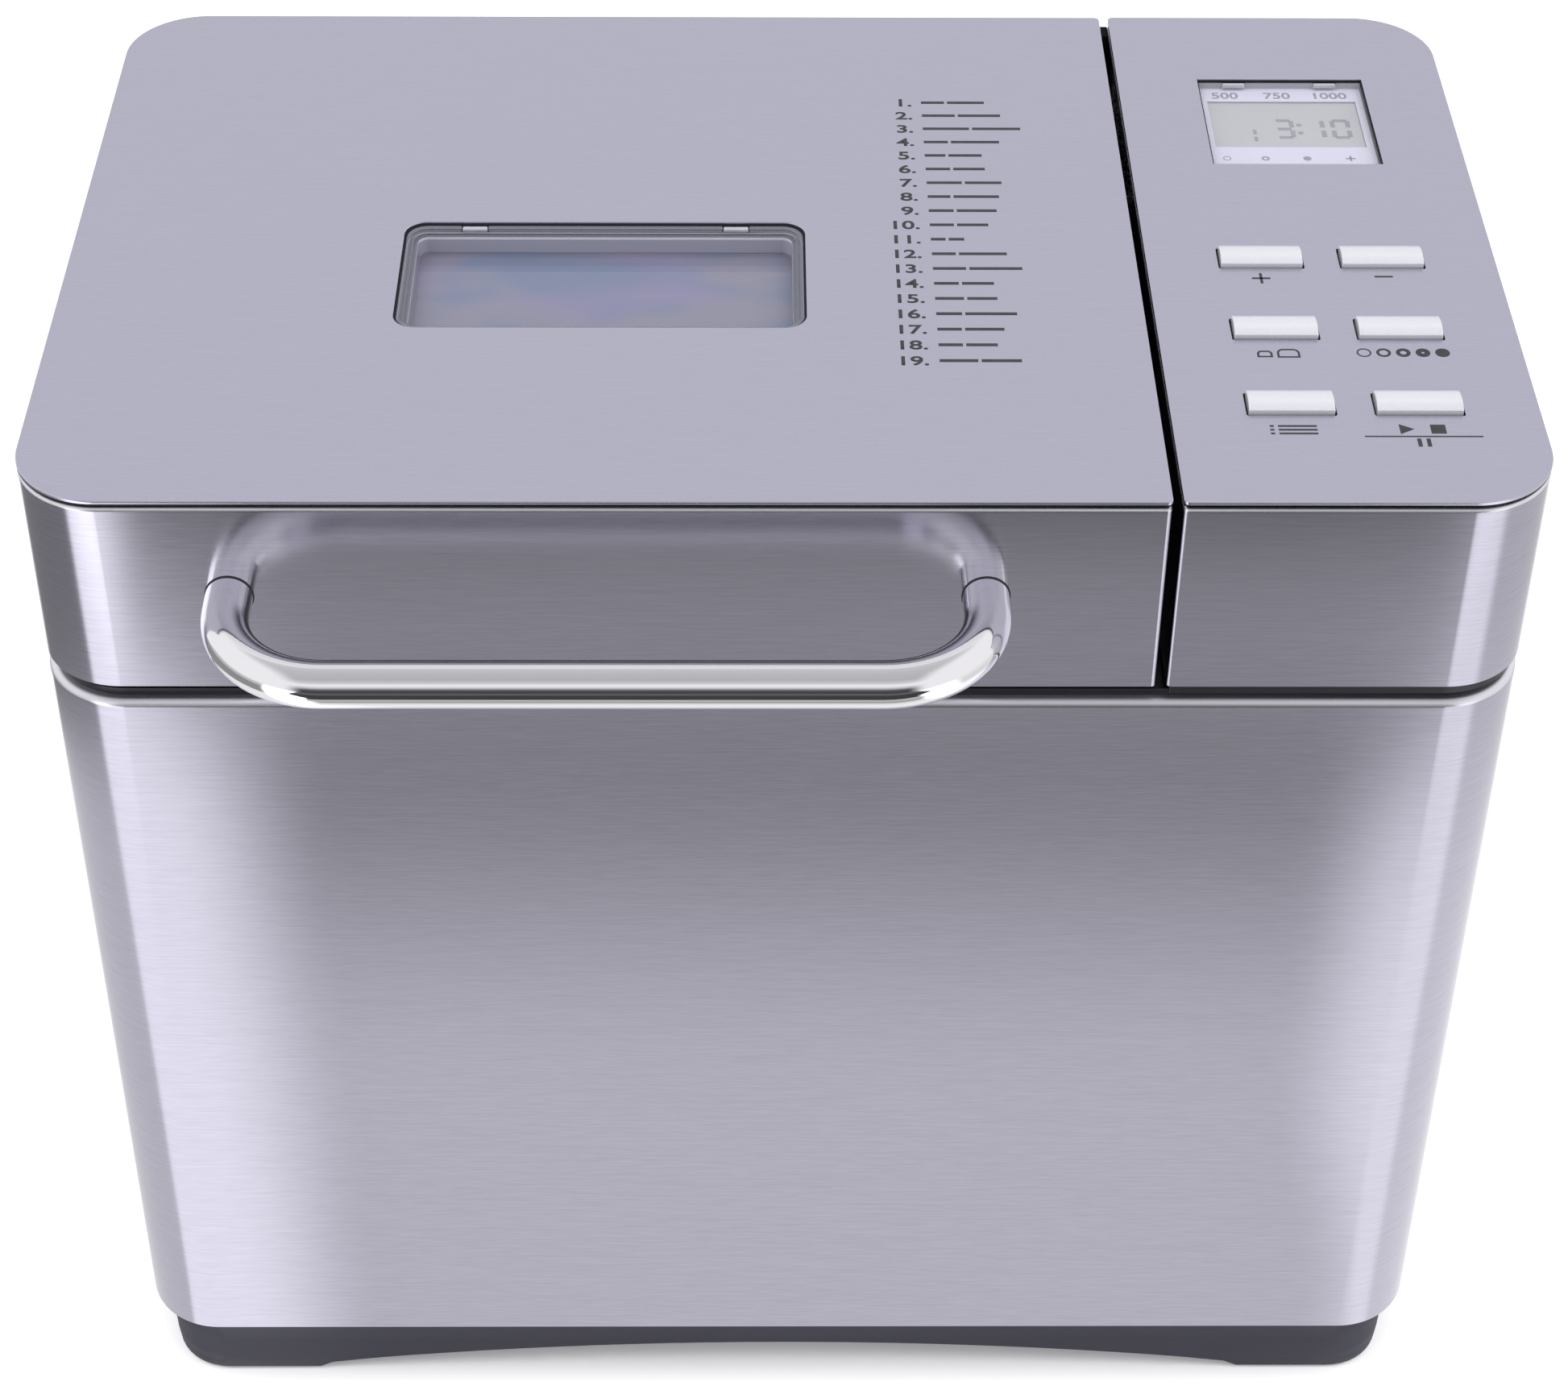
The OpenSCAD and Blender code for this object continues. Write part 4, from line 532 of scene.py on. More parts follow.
def plate(name, low, high, left_r, right_r, cutters):
    """A top plate with its openings cut and its edges broken."""
    piece = rounded_block(name, low, high, left_r, right_r)
    cut(piece, cutters)
    break_edges(piece, PLATE_EDGE)
    smooth(piece)
    return piece


def through(name, low, high, play, radius):
    """A cutter that passes through a top plate and leaves play round what stands in the opening."""
    return rounded_block(name, (low[0] - play, low[1] - play, plate_low.z - 5 * MM),
                         (high[0] + play, high[1] + play, plate_high.z + 5 * MM), radius, radius, steps=10)


window_cut = through("window_cut", window_low, window_high, LENS_SLOT, WINDOW_R)
lid_plate = plate("lid_steel_plate", plate_low, plate_high, CORNER_R, GAP_R, [window_cut])
finish_piece(lid_plate, top_steel, "brushed_steel", "lid", "lid_plate")

slots = []
for key in KEY_NAMES:
    key_low, key_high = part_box("button_" + key)
    key_middle, key_half = (key_low + key_high) / 2, Vector((KEY_WIDTH, KEY_DEPTH, 0)) / 2
    slots.append(through("slot", key_middle - key_half, key_middle + key_half, KEY_SLOT, KEY_R))
display_low, display_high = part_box("display_lens")
slots.append(through("display_cut", display_low, display_high, DISPLAY_FIT, 0))
control_low, control_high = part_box("panel_plate")
panel_plate = plate("panel_steel_plate", control_low, control_high, GAP_R, CORNER_R, slots)
finish_piece(panel_plate, top_steel, "brushed_steel", "housing", "panel_plate")

# ---- Handle ----
# A polished steel tube bent twice and fixed to the front of the lid with two hidden screws. A thin black ring at
# each end, where the tube meets the skirt, is painted shade: it stands in for the dark contact line there.
HANDLE_R = 5.6 * MM
HANDLE_BEND = 25 * MM
HANDLE_SPAN = 177.5 * MM
handle_low, handle_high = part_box("lid_handle")
front_y = skirt_low.y
handle_z = (handle_low.z + handle_high.z) / 2
handle_x = (handle_low.x + handle_high.x) / 2
left_x, right_x = handle_x - HANDLE_SPAN / 2, handle_x + HANDLE_SPAN / 2
bend_y = handle_low.y + HANDLE_R + HANDLE_BEND

chrome = Finish("polished_steel", metallic=1.0, base_color=shade(0.90, 0.885, 0.905))
chrome.set(roughness=chrome.uneven(60, 0.07, 0.11, 3.0))

deselect()
bpy.ops.mesh.primitive_circle_add(vertices=48, radius=HANDLE_R, location=(left_x, front_y, handle_z),
                                  rotation=(pi / 2, 0, 0))
handle = bpy.context.object
handle.name = "lid_tube_handle"
settle()
edit(handle)
bpy.ops.mesh.select_all(action="SELECT")
leg = front_y - bend_y
bpy.ops.mesh.extrude_region_move(TRANSFORM_OT_translate={"value": (0, -leg, 0)})
bpy.ops.mesh.spin(steps=20, angle=-pi / 2, center=(left_x + HANDLE_BEND, bend_y, handle_z), axis=(0, 0, 1))
bpy.ops.mesh.extrude_region_move(TRANSFORM_OT_translate={"value": (HANDLE_SPAN - 2 * HANDLE_BEND, 0, 0)})
bpy.ops.mesh.spin(steps=20, angle=-pi / 2, center=(right_x - HANDLE_BEND, bend_y, handle_z), axis=(0, 0, 1))
bpy.ops.mesh.extrude_region_move(TRANSFORM_OT_translate={"value": (0, leg, 0)})
bpy.ops.mesh.select_all(action="SELECT")
bpy.ops.mesh.remove_doubles(threshold=NEAR)
bpy.ops.mesh.fill_holes(sides=0)
bpy.ops.mesh.normals_make_consistent(inside=False)
deselect()
smooth(handle, 60, even=False)
finish_piece(handle, chrome, "polished_steel", "lid", "lid_handle")

# Painted shade: thin black rings where the tube meets the skirt.
SEAT_RING = 0.13 * MM
shade_ring_rubber = Finish("seat_ring_rubber", base_color=shade(0.02, 0.02, 0.022))
shade_ring_rubber.set(roughness=shade_ring_rubber.uneven(900, 0.5, 0.7))
for side, x in (("left", left_x), ("right", right_x)):
    deselect()
    bpy.ops.mesh.primitive_torus_add(location=(x, front_y - SEAT_RING, handle_z), rotation=(pi / 2, 0, 0),
                                     major_radius=HANDLE_R + 0.1 * MM, minor_radius=SEAT_RING, major_segments=64,
                                     minor_segments=10)
    seat_shade_ring = bpy.context.object
    seat_shade_ring.name = "handle_seat_ring_" + side
    settle()
    smooth(seat_shade_ring, 60, even=False)
    finish_piece(seat_shade_ring, shade_ring_rubber, "rubber", "lid")

# ---- Keys ----
# Six satin silver keys, moulded and sprayed, with a crowned cap. A flange under the panel's guides keeps each
# key in its slot, and its stem stands on a switch of the control board.
KEY_FOOT = plate_high.z - 8.6 * MM   # underside of the flange
KEY_CROWN = 9 * MM
KEY_EDGE = 0.45 * MM
FLANGE_HEIGHT = 1.6 * MM
STEM_R, STEM_IN = 2.4 * MM, 0.2 * MM


def rod(name, middle, radius, length, turn=(0, 0, 0), sides=96):
    """A round bar about its middle, ready to be cut or joined."""
    deselect()
    bpy.ops.mesh.primitive_cylinder_add(vertices=sides, radius=radius, depth=length, location=middle, rotation=turn)
    bar = bpy.context.object
    bar.name = name
    settle()
    return bar


def model_key(low, high):
    """One key that fills the given box, from the end of its stem to the top of its crown."""
    middle = (low + high) / 2
    half_x, half_y = KEY_WIDTH / 2, KEY_DEPTH / 2
    cap = block("key", (middle.x - half_x, middle.y - half_y, KEY_FOOT),
                (middle.x + half_x, middle.y + half_y, high.z))
    crown = rod("crown", (middle.x, middle.y, high.z - KEY_CROWN), KEY_CROWN, 2 * KEY_WIDTH, (0, pi / 2, 0), 180)
    combine(cap, "INTERSECT", [crown])
    break_edges(cap, KEY_EDGE, 4)
    flange = rounded_block("flange", (low.x, low.y, KEY_FOOT), (high.x, high.y, KEY_FOOT + FLANGE_HEIGHT),
                           KEY_R, KEY_R)
    stem = rod("stem", (middle.x, middle.y, (low.z + KEY_FOOT + STEM_IN) / 2), STEM_R, KEY_FOOT - low.z + STEM_IN,
               sides=48)
    combine(cap, "UNION", [flange, stem])
    return cap


key_silver = Finish("key_silver", metallic=0.5)
spray = key_silver.noise((900, 900, 900), 2.0)
key_silver.set(base_color=key_silver.mix(spray, shade(0.64, 0.645, 0.685), shade(0.68, 0.685, 0.725)),
               roughness=0.20 + spray * 0.05)
key_silver.bump(spray, 0.003 * MM, 0.3)


def duplicate(piece):
    """A copy of a piece with its own mesh."""
    made = piece.copy()
    made.data = piece.data.copy()
    bpy.context.scene.collection.objects.link(made)
    return made


first_low, first_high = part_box("button_" + KEY_NAMES[0])
first_key = model_key(first_low, first_high)
smooth(first_key)
keys = {KEY_NAMES[0]: first_key}
for key in KEY_NAMES[1:]:
    keys[key] = duplicate(first_key)
    take(keys[key])
    keys[key].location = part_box("button_" + key)[0] - first_low
    settle()
for key, piece in keys.items():
    piece.name = "key_" + key
    finish_piece(piece, key_silver, "button_silver", "button_" + key, "button_" + key)

# ---- Lid window ----
# A clear moulding let into the lid: a rim just under the plate, two steps down to a tinted pane, and two small
# catches in notches of its rear edge. A black rubber ring fills the slot round it: painted shade in the slot.
def below_rim(depth):
    """The height of a place that many millimetres below the top of the window's rim."""
    return window_high.z - depth * MM


RIM_UNDER = 2.2 * MM
PANE_TOP = window_low.z + 2 * MM
STEPS = ((1.1 * MM, below_rim(0.8), 4.2 * MM), (2.0 * MM, below_rim(1.7), 3.4 * MM), (2.9 * MM, PANE_TOP, 2.6 * MM))
WELL_IN = 2 * MM
WINDOW_EDGE = 0.28 * MM
CATCH_OUT = 0.33                     # how far out the catches sit, as a share of the width
CATCH = Vector((6.8, 1.6, 1.4)) * MM


def inset_block(name, inset, low_z, high_z, radius, steps=8):
    """A rounded block that keeps the window's plan, set in from its outline."""
    return rounded_block(name, (window_low.x + inset, window_low.y + inset, low_z),
                         (window_high.x - inset, window_high.y - inset, high_z), radius, radius, steps)


def catch_places(low, high, share):
    """The x of two catches, each a share of the width out from the middle."""
    middle = (low + high) / 2
    return [middle.x + way * share * (high.x - low.x) for way in (-1, 1)]


def notches(low, high, share, size):
    """Cutters for the notches that two catches of the given size sit in."""
    return [block("notch", (x - size.x / 2, high.y - size.y, high.z - size.z),
                  (x + size.x / 2, high.y + MM, high.z + MM)) for x in catch_places(low, high, share)]


window = inset_block("window_moulding", 0, window_high.z - RIM_UNDER, window_high.z, WINDOW_R - 0.25 * MM, 12)
well = inset_block("well", WELL_IN, window_low.z, window_high.z - RIM_UNDER / 2, WINDOW_R - WELL_IN)
combine(window, "UNION", [well])
cut(window, [inset_block("step", inset, floor_z, window_high.z + MM, radius) for inset, floor_z, radius in STEPS])
cut(window, notches(window_low, window_high, CATCH_OUT, CATCH))
break_edges(window, WINDOW_EDGE, angle=40)
smooth(window)
window_clear = Finish("tinted_clear", ior=1.49, roughness=0.05, coat_roughness=0.04)
height = window_clear.axis("Z")
on_pane = height.span(PANE_TOP + 0.1 * MM, PANE_TOP + 0.8 * MM, 1, 0)
bloom = window_clear.noise((26, 42, 26), 2.0)
blush = window_clear.noise((19, 30, 19), 1.0, (0.4, 0.2, 0.7))
film = window_clear.mix(bloom.span(0.40, 0.60), shade(0.14, 0.165, 0.25), shade(0.185, 0.18, 0.235))
film = window_clear.mix(blush.span(0.48, 0.62) * 0.6, film, shade(0.20, 0.17, 0.285))
shadow = window_clear.axis("Y").span(window_high.y - 8.7 * MM, window_high.y - 8.0 * MM, 0, 0.16)
film = window_clear.mix(shadow, film, shade(0.06, 0.06, 0.08))
on_wall = height.span(below_rim(1.85), below_rim(1.75), 1, 0)
# Painted highlights: pale lines along the rim's step edges and where the inner wall begins.
painted_edge_highlight = on_wall * height.span(below_rim(2.5), below_rim(2.3))
for drop in (0.0, 0.8):
    painted_edge_highlight = painted_edge_highlight + 0.6 * height.between(*[below_rim(drop + depth) for depth in (0.40, 0.30, 0.16, 0.08)])
clear = window_clear.mix(on_wall, shade(0.20, 0.20, 0.25), shade(0.34, 0.34, 0.42))
clear = window_clear.mix(painted_edge_highlight, clear, shade(0.62, 0.62, 0.68))
window_clear.set(base_color=window_clear.mix(on_pane, clear, film), coat_weight=0.3,
                 alpha=0.58 + on_wall * 0.27 + on_pane * 0.03 + (bloom - 0.5) * on_pane * 0.1)
finish_piece(window, window_clear, "clear_lens", "lid", "window_lens")

# Painted shade: a black ring fills the slot between the plate and the moulding.
GASKET_UP, GASKET_IN = 0.2 * MM, 0.05 * MM
slot_shade_ring = inset_block("window_gasket", -LENS_SLOT, window_high.z - RIM_UNDER, window_high.z + GASKET_UP, WINDOW_R, 12)
cut(slot_shade_ring, [inset_block("gasket_hole", GASKET_IN, window_low.z, window_high.z + MM, WINDOW_R - 0.3 * MM, 12)])
smooth(slot_shade_ring)
slot_shade_rubber = Finish("slot_shade_rubber", specular_ior_level=0.2, base_color=shade(0.01, 0.01, 0.012))
slot_shade_rubber.set(roughness=slot_shade_rubber.uneven(700, 0.6, 0.8))
finish_piece(slot_shade_ring, slot_shade_rubber, "rubber", "lid")

catch_plastic = Finish("catch_plastic", roughness=0.25)
catch_plastic.set(base_color=catch_plastic.speckle(400, shade(0.30, 0.30, 0.35), shade(0.40, 0.40, 0.46)))
CATCH_EDGE = 0.3 * MM
CATCH_PLAY = Vector((0.2, 0.15, 0.1)) * MM     # beside, in front of and under a catch in its notch
CATCH_SUNK = 0.15 * MM


def catches(name, low, high, share, size, body):
    """Two small moulded catches in the notches of a lens's rear edge."""
    rear, top, made = high.y, high.z, []
    for x in catch_places(low, high, share):
        corner = Vector((x - size.x / 2, rear - size.y, top - size.z)) + CATCH_PLAY
        catch = block(name, corner, (x + size.x / 2 - CATCH_PLAY.x, rear, top - CATCH_SUNK))
        edit(catch)
        pick(catch, "edges", lambda mid, way: mid.z > top - 0.2 * MM and abs(way.z) < 0.1)
        round_off(CATCH_EDGE, 3)
        deselect()
        smooth(catch)
        made.append(catch)
    deselect()
    for catch in made:
        catch.select_set(True)
    bpy.context.view_layer.objects.active = made[0]
    bpy.ops.object.join()
    made[0].name = name
    finish_piece(made[0], catch_plastic, "pale_plastic", body)


catches("window_catches", window_low, window_high, CATCH_OUT, CATCH, "lid")

# ---- Display ----
# A printed card lies on the moulding's ledge, with a liquid crystal panel showing through its opening. A clear
# pane above it closes the opening in the panel's plate, inside a black lining and held by two catches. The lining
# fills the slot round the pane as painted shade, and its rear inner face just under the top is painted pale as
# painted light on that face.
CARD_LOW, CARD_HIGH = 0.02 * MM, 0.25 * MM
LCD_IN = 2.02 * MM
LCD_FRONT, LCD_REAR = FACE_Y + 161.2 * MM, FACE_Y + 184.9 * MM
LENS_GAP = 0.1 * MM
PANE_R, PANE_EDGE = 0.3 * MM, 0.2 * MM
CARD_EDGE = 0.06 * MM
DISPLAY_CATCH_OUT = 0.28
DISPLAY_CATCH = Vector((6.4, 1.2, 1.3)) * MM
lcd_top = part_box("display_module")[1].z

card = block("display_card", (display_low.x, display_low.y, display_low.z + CARD_LOW),
             (display_high.x, display_high.y, display_low.z + CARD_HIGH))
cut(card, [block("lcd_opening", (display_low.x + LCD_IN, LCD_FRONT, display_low.z - MM),
                 (display_high.x - LCD_IN, LCD_REAR, display_low.z + MM))])
break_edges(card, CARD_EDGE, 2)
smooth(card)
card_print = Finish("card_print", roughness=0.5)
card_print.set(base_color=card_print.speckle(60, shade(0.455, 0.445, 0.545), shade(0.485, 0.475, 0.57), 3.0))
finish_piece(card, card_print, "pale_plastic", "housing")

display_pane = rounded_block("display_pane", (display_low.x, display_low.y, display_low.z + CARD_HIGH + LENS_GAP),
                             display_high, PANE_R, PANE_R)
cut(display_pane, notches(display_low, display_high, DISPLAY_CATCH_OUT, DISPLAY_CATCH))
break_edges(display_pane, PANE_EDGE)
smooth(display_pane)
pane_clear = Finish("display_clear", ior=1.49, roughness=0.04, base_color=shade(0.62, 0.63, 0.7))
haze = pane_clear.noise((80, 80, 80), 2.0)
pane_clear.set(alpha=0.10 + haze * 0.05)
finish_piece(display_pane, pane_clear, "clear_lens", "housing", "display_lens")

LINING, LINING_UP = 0.3 * MM, 0.45 * MM


def display_block(name, out, low_z, high_z):
    """A block over the display's plan, set out from its outline."""
    return block(name, (display_low.x - out, display_low.y - out, low_z),
                 (display_high.x + out, display_high.y + out, high_z))


lining = display_block("display_lining", DISPLAY_FIT, display_low.z + CARD_HIGH, display_high.z + LINING_UP)
cut(lining, [display_block("lining_hole", DISPLAY_FIT - LINING, display_low.z, display_high.z + MM)])
smooth(lining)
shade_lining_film = Finish("shade_lining_film", specular_ior_level=0.2)
# Painted light: the lining's rear inner face just under the top is pale grey. The rest is black, painted shade in
# the slot.
painted_light_rear = shade_lining_film.axis("Y").span(display_high.y - 0.3 * MM, display_high.y - 0.15 * MM)
deep = shade_lining_film.axis("Z").span(display_high.z - 0.35 * MM, display_high.z - 0.15 * MM, 1, 0)
shade_lining_film.set(base_color=shade_lining_film.mix(painted_light_rear * deep, shade(0.01, 0.01, 0.012), shade(0.24, 0.24, 0.285)),
                roughness=shade_lining_film.uneven(700, 0.5, 0.7))
finish_piece(lining, shade_lining_film, "rubber", "housing")
catches("display_catches", display_low, display_high, DISPLAY_CATCH_OUT, DISPLAY_CATCH, "housing")

# ---- Printing ----
# Screen printed marks on the plates and on the display's card, a few hundredths of a millimetre thick:
# numbers with a bar for the length of each program, and a sign in front of each key.
INK_HEIGHT = 0.03 * MM
ink = Finish("printing_ink", roughness=0.6, specular_ior_level=0.3)
ink.set(base_color=ink.speckle(500, shade(0.022, 0.022, 0.026), shade(0.040, 0.040, 0.045)))
pale_ink = Finish("pale_ink", roughness=0.5)
pale_ink.set(base_color=pale_ink.speckle(500, shade(0.10, 0.10, 0.14), shade(0.14, 0.14, 0.18)))
segment_ink = Finish("lcd_segments", roughness=0.3)
segment_ink.set(base_color=segment_ink.speckle(300, shade(0.10, 0.112, 0.12), shade(0.13, 0.142, 0.15)))
DIGIT_OF_SIZE, THICKEN = 0.72, 0.028   # a digit's height as a share of the type size, and its ink spread


def word(text, x, y, height, align="CENTER", stretch=1.0):
    """Numbers in the plain built-in face; height is that of a digit, and x, y is the middle of its foot."""
    deselect()
    bpy.ops.object.text_add(location=(0, 0, 0))
    made = bpy.context.object
    made.data.body = text
    made.data.size = height / DIGIT_OF_SIZE
    made.data.align_x = align
    made.data.offset = height * THICKEN
    bpy.ops.object.convert(target="MESH")
    made.scale = (stretch, 1, 1)
    made.location = (x, y, 0)
    settle()
    return made


def bar(x0, x1, y0, y1):
    """A flat rectangle between its edges."""
    deselect()
    bpy.ops.mesh.primitive_plane_add(size=1, location=((x0 + x1) / 2, (y0 + y1) / 2, 0))
    made = bpy.context.object
    made.scale = (x1 - x0, y1 - y0, 1)
    settle()
    return made


def stroke(x, y, width, height):
    """A flat rectangle about its middle."""
    return bar(x - width / 2, x + width / 2, y - height / 2, y + height / 2)


def ring(x, y, radius, line=0, sides=32, turn=0):
    """A disc, or the outline of one where line is its thickness."""
    deselect()
    bpy.ops.mesh.primitive_circle_add(vertices=sides, radius=radius, fill_type="NGON", location=(x, y, 0),
                                      rotation=(0, 0, turn))
    made = bpy.context.object
    settle()
    if line:
        hollow(made, line)
    return made


def hollow(shape, line):
    """Leaves only a line along the outline of a flat shape."""
    edit(shape)
    bpy.ops.mesh.select_mode(type="FACE")
    bpy.ops.mesh.select_all(action="SELECT")
    bpy.ops.mesh.inset(thickness=line, depth=0)
    bpy.ops.mesh.delete(type="FACE")
    deselect()


def loaf(x, y, width, height, line):
    """The outline of a loaf: a block with a domed top that stands out at both sides."""
    made = stroke(x, y, width, height)
    edit(made)
    pick(made, "edges", lambda mid, way: mid.y > y + height / 2 - NEAR)
    bpy.ops.mesh.bevel(offset=height * 0.45, segments=6, affect="VERTICES")
    deselect()
    hollow(made, line)
    return made


def print_marks(name, shapes, height, finish, body, slot):
    """Joins flat shapes into one print that lies at the given height."""
    deselect()
    for shape in shapes:
        shape.select_set(True)
    bpy.context.view_layer.objects.active = shapes[0]
    bpy.ops.object.join()
    made = bpy.context.object
    made.name = name
    modify(made, "SOLIDIFY", thickness=INK_HEIGHT * 0.9, offset=-1)
    made.location.z = height
    settle()
    finish_piece(made, finish, slot, body)


# Each program has its number and a bar in two parts, of the length in millimetres given here.
LIST_X, LIST_TOP, LIST_PITCH = 35.2 * MM, 179.2 * MM + FACE_Y, 6.78 * MM
DIGIT, WIDE = 3.8 * MM, 1.26
BAR_START, BAR_BREAK = 2.4 * MM, 0.4 * MM
PROGRAM_BARS = (17, 21, 26, 20, 15, 15.5, 19.5, 18.5, 17.5, 15, 8.5, 19, 22.5, 15, 15.5, 20, 16.5, 14.5, 20)
BAR_HALF = 0.6 * MM
rows = []
for count, length in enumerate(PROGRAM_BARS, 1):
    y = LIST_TOP - (count - 1) * LIST_PITCH
    rows.append(word("%d." % count, LIST_X, y - DIGIT / 2, DIGIT, "RIGHT", WIDE))
    start = LIST_X + BAR_START
    split = start + length * MM * (0.34 + 0.05 * (count % 4))
    rows.append(bar(start, split - BAR_BREAK, y - BAR_HALF, y + BAR_HALF))
    rows.append(bar(split + BAR_BREAK, start + length * MM, y - BAR_HALF, y + BAR_HALF))
print_marks("program_numbers", rows, plate_high.z + INK_HEIGHT, ink, "lid", "brushed_steel")


def at(x, ahead):
    """A place on the panel from its x and its distance behind the front face, both in millimetres."""
    return x * MM, ahead * MM + FACE_Y


# The signs, in the order of the keys: a plus, a minus, two sizes of loaf, five shades of crust, a list of
# programs, and start with its underline, over stop.
ARM, STROKE, LOAF_LINE = 4.6 * MM, 0.7 * MM, 0.55 * MM
SHADE_R, SHADE_LINES = 1.8 * MM, ((-9.6, 0.4), (-4.8, 0.7), (0, 1.0), (4.8, 1.4), (9.6, 0))
signs = []
x, y = at(119.8, 93.6)
signs += [stroke(x, y, ARM, STROKE), stroke(x, y, STROKE, ARM)]
signs.append(stroke(*at(150.7, 94.4), ARM, STROKE))
x, y = at(120.2, 60.5)
signs += [loaf(x - 3.3 * MM, y - 0.3 * MM, 3.8 * MM, 2.8 * MM, LOAF_LINE),
          loaf(x + 2.5 * MM, y, 5.6 * MM, 3.7 * MM, LOAF_LINE)]
x, y = at(150.75, 60.8)
signs += [ring(x + step * MM, y, SHADE_R, line * MM) for step, line in SHADE_LINES]
x, y = at(120.2, 28.7)
for step in (-1.5, 0, 1.5):
    signs += [stroke(x - 5.1 * MM, y + step * MM, 1.0 * MM, STROKE),
              stroke(x + 1.0 * MM, y + step * MM, 9.2 * MM, STROKE)]
x, y = at(150.65, 29.0)
signs += [ring(x - 4.2 * MM, y, 2.3 * MM, sides=3, turn=-pi / 2),
          stroke(x + 3.8 * MM, y, 3.6 * MM, 3.6 * MM), stroke(x, y - 2.95 * MM, 28 * MM, 0.5 * MM)]
x, y = at(150.4, 23.6)
signs += [stroke(x + step * MM, y, 1.0 * MM, 3.2 * MM) for step in (-1.1, 1.1)]
print_marks("key_signs", signs, plate_high.z + INK_HEIGHT, ink, "housing", "brushed_steel")


def across(share):
    """An x on the display's card, as a share of the way from its left edge."""
    return display_low.x + share * (display_high.x - display_low.x)


# The card has the loaf's weights behind the liquid crystal panel, and three shades and a cross in front of it.
WEIGHTS = (("500", 0.16), ("750", 0.48), ("1000", 0.80))
WEIGHT_Y, CARD_SIGN_Y = 186.4 * MM + FACE_Y, 155.4 * MM + FACE_Y
card_marks = [word(text, across(share), WEIGHT_Y, 3.1 * MM, stretch=1.15) for text, share in WEIGHTS]
for share, line in ((0.10, 0.3), (0.33, 0.6), (0.58, 0)):
    card_marks.append(ring(across(share), CARD_SIGN_Y, 1.1 * MM, line * MM))
x = across(0.84)
card_marks += [stroke(x, CARD_SIGN_Y, 0.6 * MM, 2.6 * MM), stroke(x, CARD_SIGN_Y, 2.6 * MM, 0.6 * MM)]
print_marks("card_marks", card_marks, display_low.z + CARD_HIGH + INK_HEIGHT, pale_ink, "housing", "display_grey")

# Seven bars make a digit: top, upper left, upper right, middle, lower left, lower right, bottom.
DIGIT_BARS = {"1": "..R..r.", "3": "T.RM.rB", "0": "TLR.lrB"}


def lcd_digit(text, x, y, height):
    """The lit bars of one digit about its middle."""
    half, up, line = height * 0.27, height / 2, height * 0.13
    gap = line * 0.65
    places = [(-half + gap, half - gap, up - line, up), (-half, -half + line, gap, up - gap),
              (half - line, half, gap, up - gap), (-half + gap, half - gap, -line / 2, line / 2),
              (-half, -half + line, -up + gap, -gap), (half - line, half, -up + gap, -gap),
              (-half + gap, half - gap, -up, -up + line)]
    return [bar(x + x0, x + x1, y + y0, y + y1)
            for (x0, x1, y0, y1), lit in zip(places, DIGIT_BARS[text]) if lit != "."]


TIME_Y, TIME_HEIGHT = 171.4 * MM + FACE_Y, 10 * MM
lcd = lcd_digit("1", display_low.x + 11.9 * MM, 168.0 * MM + FACE_Y, 7.2 * MM)
for digit, x in (("3", 21.6), ("1", 29.9), ("0", 36.8)):
    lcd += lcd_digit(digit, display_low.x + x * MM, TIME_Y, TIME_HEIGHT)
lcd += [ring(display_low.x + 25.7 * MM, TIME_Y + step * MM, 0.8 * MM) for step in (-2.0, 2.0)]
print_marks("lcd_digits", lcd, lcd_top + INK_HEIGHT, segment_ink, "housing", "display_grey")

# ---- Base ----
# The dark moulding that the housing stands on, arched between its four corners, with rubber feet screwed under
# it. It is made from its node, with walls that run nearly straight down to the feet.
def moulded(name, colour, roughness, spread=0.15, grit=0.02):
    """An injection moulded plastic with a fine spark-eroded surface; grit is its depth in millimetres."""
    plastic = Finish(name, specular_ior_level=0.35)
    cloud = plastic.noise((40, 40, 40), 3.0)
    dots = plastic.noise((1400, 1400, 1400), 1.0)
    low, high = [shade(*(c * k for c in colour)) for k in (1 - spread, 1 + spread)]
    plastic.set(base_color=plastic.mix(cloud, low, high), roughness=roughness + cloud * 0.06)
    plastic.bump(dots, grit * MM, 0.4)
    return plastic


# Each row is a height and inset of the node's wall, and then of the finished one, in millimetres. So are the
# plan's middle, half sizes and corner radius.
BASE_WALL = ((0.6, 9.4, 0.25, 5.9), (2.4, 7.0, 1.5, 4.9), (6.0, 5.2, 6.0, 4.5), (14.0, 4.2, 14.0, 4.2))
PLAN_MIDDLE, PLAN_HALF, PLAN_R = Vector((0, 19)), Vector((180, 113)), 21
WALL_NEAR = 0.15         # a corner this close to the wall's outline belongs to it
UNDERSIDE = 0.7          # what is lower than this is the underside


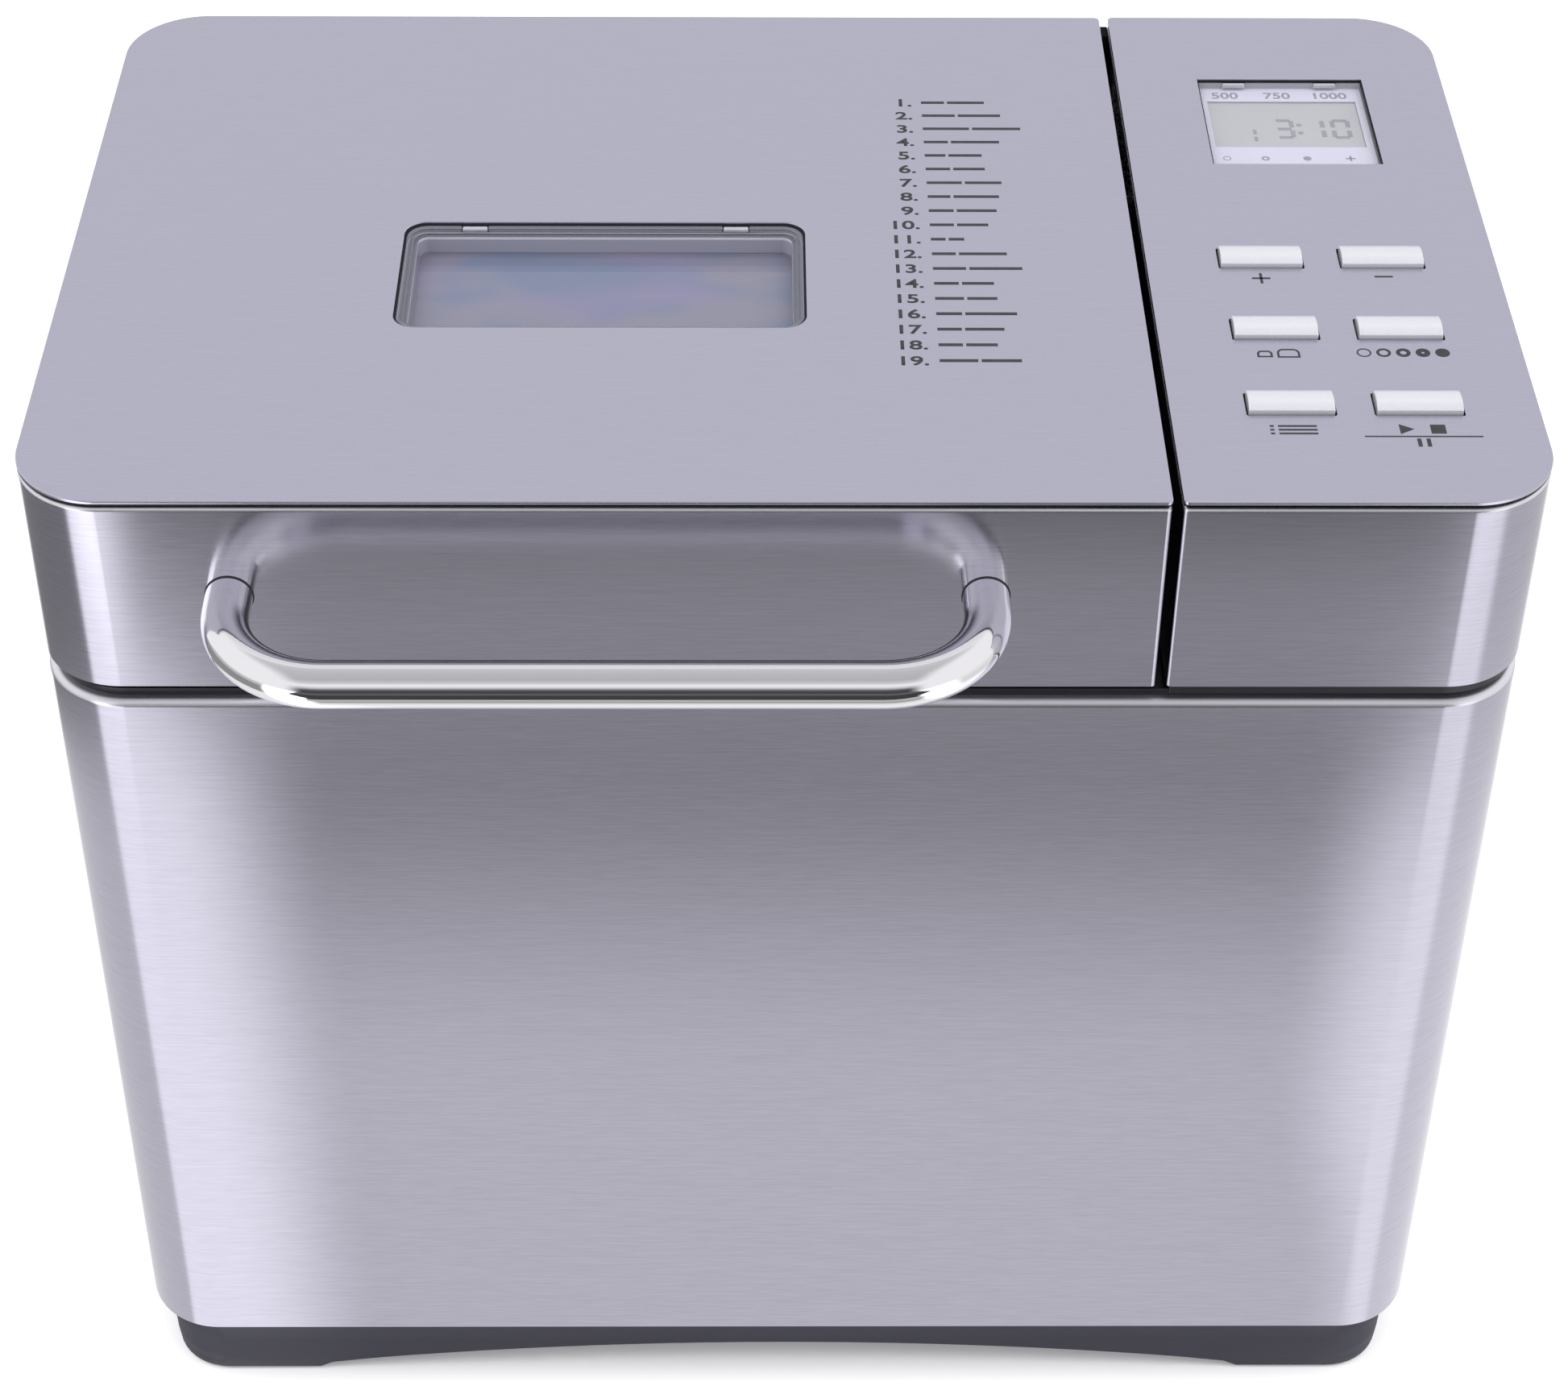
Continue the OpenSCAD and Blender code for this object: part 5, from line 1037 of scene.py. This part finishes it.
def straighten(corner):
    """Moves a corner of the base's curved outer wall out to the straight one."""
    height = corner.z / MM
    if height > BASE_WALL[-1][0]:
        return
    offset = Vector((corner.x, corner.y)) / MM - PLAN_MIDDLE
    over = Vector((abs(offset.x), abs(offset.y))) - PLAN_HALF + Vector((PLAN_R, PLAN_R))
    rim = Vector((max(over.x, 0), max(over.y, 0)))
    inset = PLAN_R - (rim.length if rim.length > 0 else max(over))
    out = rim.normalized() if rim.length > 0 else Vector((1, 0) if over.x > over.y else (0, 1))
    for (z0, i0, new_z0, new_i0), (z1, i1, new_z1, new_i1) in zip(BASE_WALL, BASE_WALL[1:]):
        share = (height - z0) / (z1 - z0)
        if -0.01 <= share <= 1 and abs(i0 + (i1 - i0) * share - inset) < WALL_NEAR:
            move = (inset - new_i0 - (new_i1 - new_i0) * share) * MM
            corner.x += out.x * move * (1 if offset.x > 0 else -1)
            corner.y += out.y * move * (1 if offset.y > 0 else -1)
            corner.z = (new_z0 + (new_z1 - new_z0) * share) * MM
            return
    if height < UNDERSIDE:
        corner.z = BASE_WALL[0][2] * MM


base = duplicate(nodes["base"])
base.name = "slate_base"
edit(base)
bpy.ops.mesh.select_all(action="SELECT")
bpy.ops.mesh.remove_doubles(threshold=0.002 * MM)
mesh = bmesh.from_edit_mesh(base.data)
for vert in mesh.verts:
    straighten(vert.co)
bmesh.update_edit_mesh(base.data)
bpy.ops.mesh.normals_make_consistent(inside=False)
deselect()
smooth(base, even=False)
slate = moulded("slate_moulding", (0.031, 0.030, 0.046), 0.65)
finish_piece(base, slate, "slate_plastic", "housing", "base")


# ---- Mouldings, chamber and works ----
# The pieces inside and below keep the shape that the frame gives them, and take the finish of what they are
# made of: moulded plastics, rubber, bare and coated sheet, castings, wire and boards.
def bare_metal(name, colour, roughness, grain=(300, 300, 300), depth=0.01, spread=0.08):
    """Rolled, cast or turned metal; grain gives the direction of its marks, and depth is in millimetres."""
    metal = Finish(name, metallic=1.0)
    marks = metal.noise(grain, 3.0)
    cloud = metal.noise((30, 30, 30), 3.0)
    low, high = [shade(*(c * k for c in colour)) for k in (1 - spread, 1 + spread)]
    metal.set(base_color=metal.mix(cloud * 0.5 + marks * 0.5, low, high), roughness=roughness + cloud * 0.1)
    metal.bump(marks, depth * MM, 0.5)
    return metal


glass = Finish("window_glass", roughness=0.06, ior=1.5, coat_weight=1.0)
tint = glass.noise((28, 45, 28), 2.0)
haze = glass.noise((60, 90, 60), 3.0)
glass.set(base_color=glass.mix(tint.span(0.35, 0.65), shade(0.20, 0.21, 0.33), shade(0.30, 0.31, 0.35)),
          alpha=0.80 + haze * 0.1)
lens = Finish("clear_plastic", roughness=0.03, ior=1.46, transmission_weight=1.0, base_color=shade(0.92, 0.92, 0.97))

finishes = {
    "slate_plastic": slate,
    "black_plastic": moulded("black_moulding", (0.012, 0.012, 0.016), 0.22, grit=0.004),
    "pale_plastic": moulded("pale_moulding", (0.62, 0.61, 0.57), 0.45),
    "rubber": moulded("black_rubber", (0.02, 0.02, 0.021), 0.75, grit=0.03),
    "silicone": moulded("grey_silicone", (0.32, 0.31, 0.30), 0.5),
    "board": moulded("green_board", (0.03, 0.13, 0.06), 0.3, grit=0.005),
    "pan_coating": moulded("nonstick_coating", (0.03, 0.03, 0.032), 0.38, spread=0.3, grit=0.01),
    "display_grey": moulded("display_glass", (0.305, 0.31, 0.315), 0.3, spread=0.03, grit=0.001),
    "inner_steel": bare_metal("aluminised_sheet", (0.66, 0.66, 0.67), 0.3),
    "screw_steel": bare_metal("zinc_plated_steel", (0.7, 0.7, 0.69), 0.25),
    "core_steel": bare_metal("motor_core", (0.42, 0.41, 0.42), 0.4, grain=(20, 20, 1500)),
    "element_sheath": bare_metal("element_sheath", (0.16, 0.15, 0.15), 0.45),
    "cast_aluminium": bare_metal("cast_aluminium", (0.68, 0.68, 0.69), 0.42, grain=(700, 700, 700), depth=0.03),
    "bronze": bare_metal("sintered_bronze", (0.55, 0.38, 0.2), 0.45, grain=(1500, 1500, 1500)),
    "window_glass": glass,
    "clear_lens": lens,
}
for node in nodes.values():
    for place in node.material_slots:
        if place.material.name in finishes:
            place.material = finishes[place.material.name].material
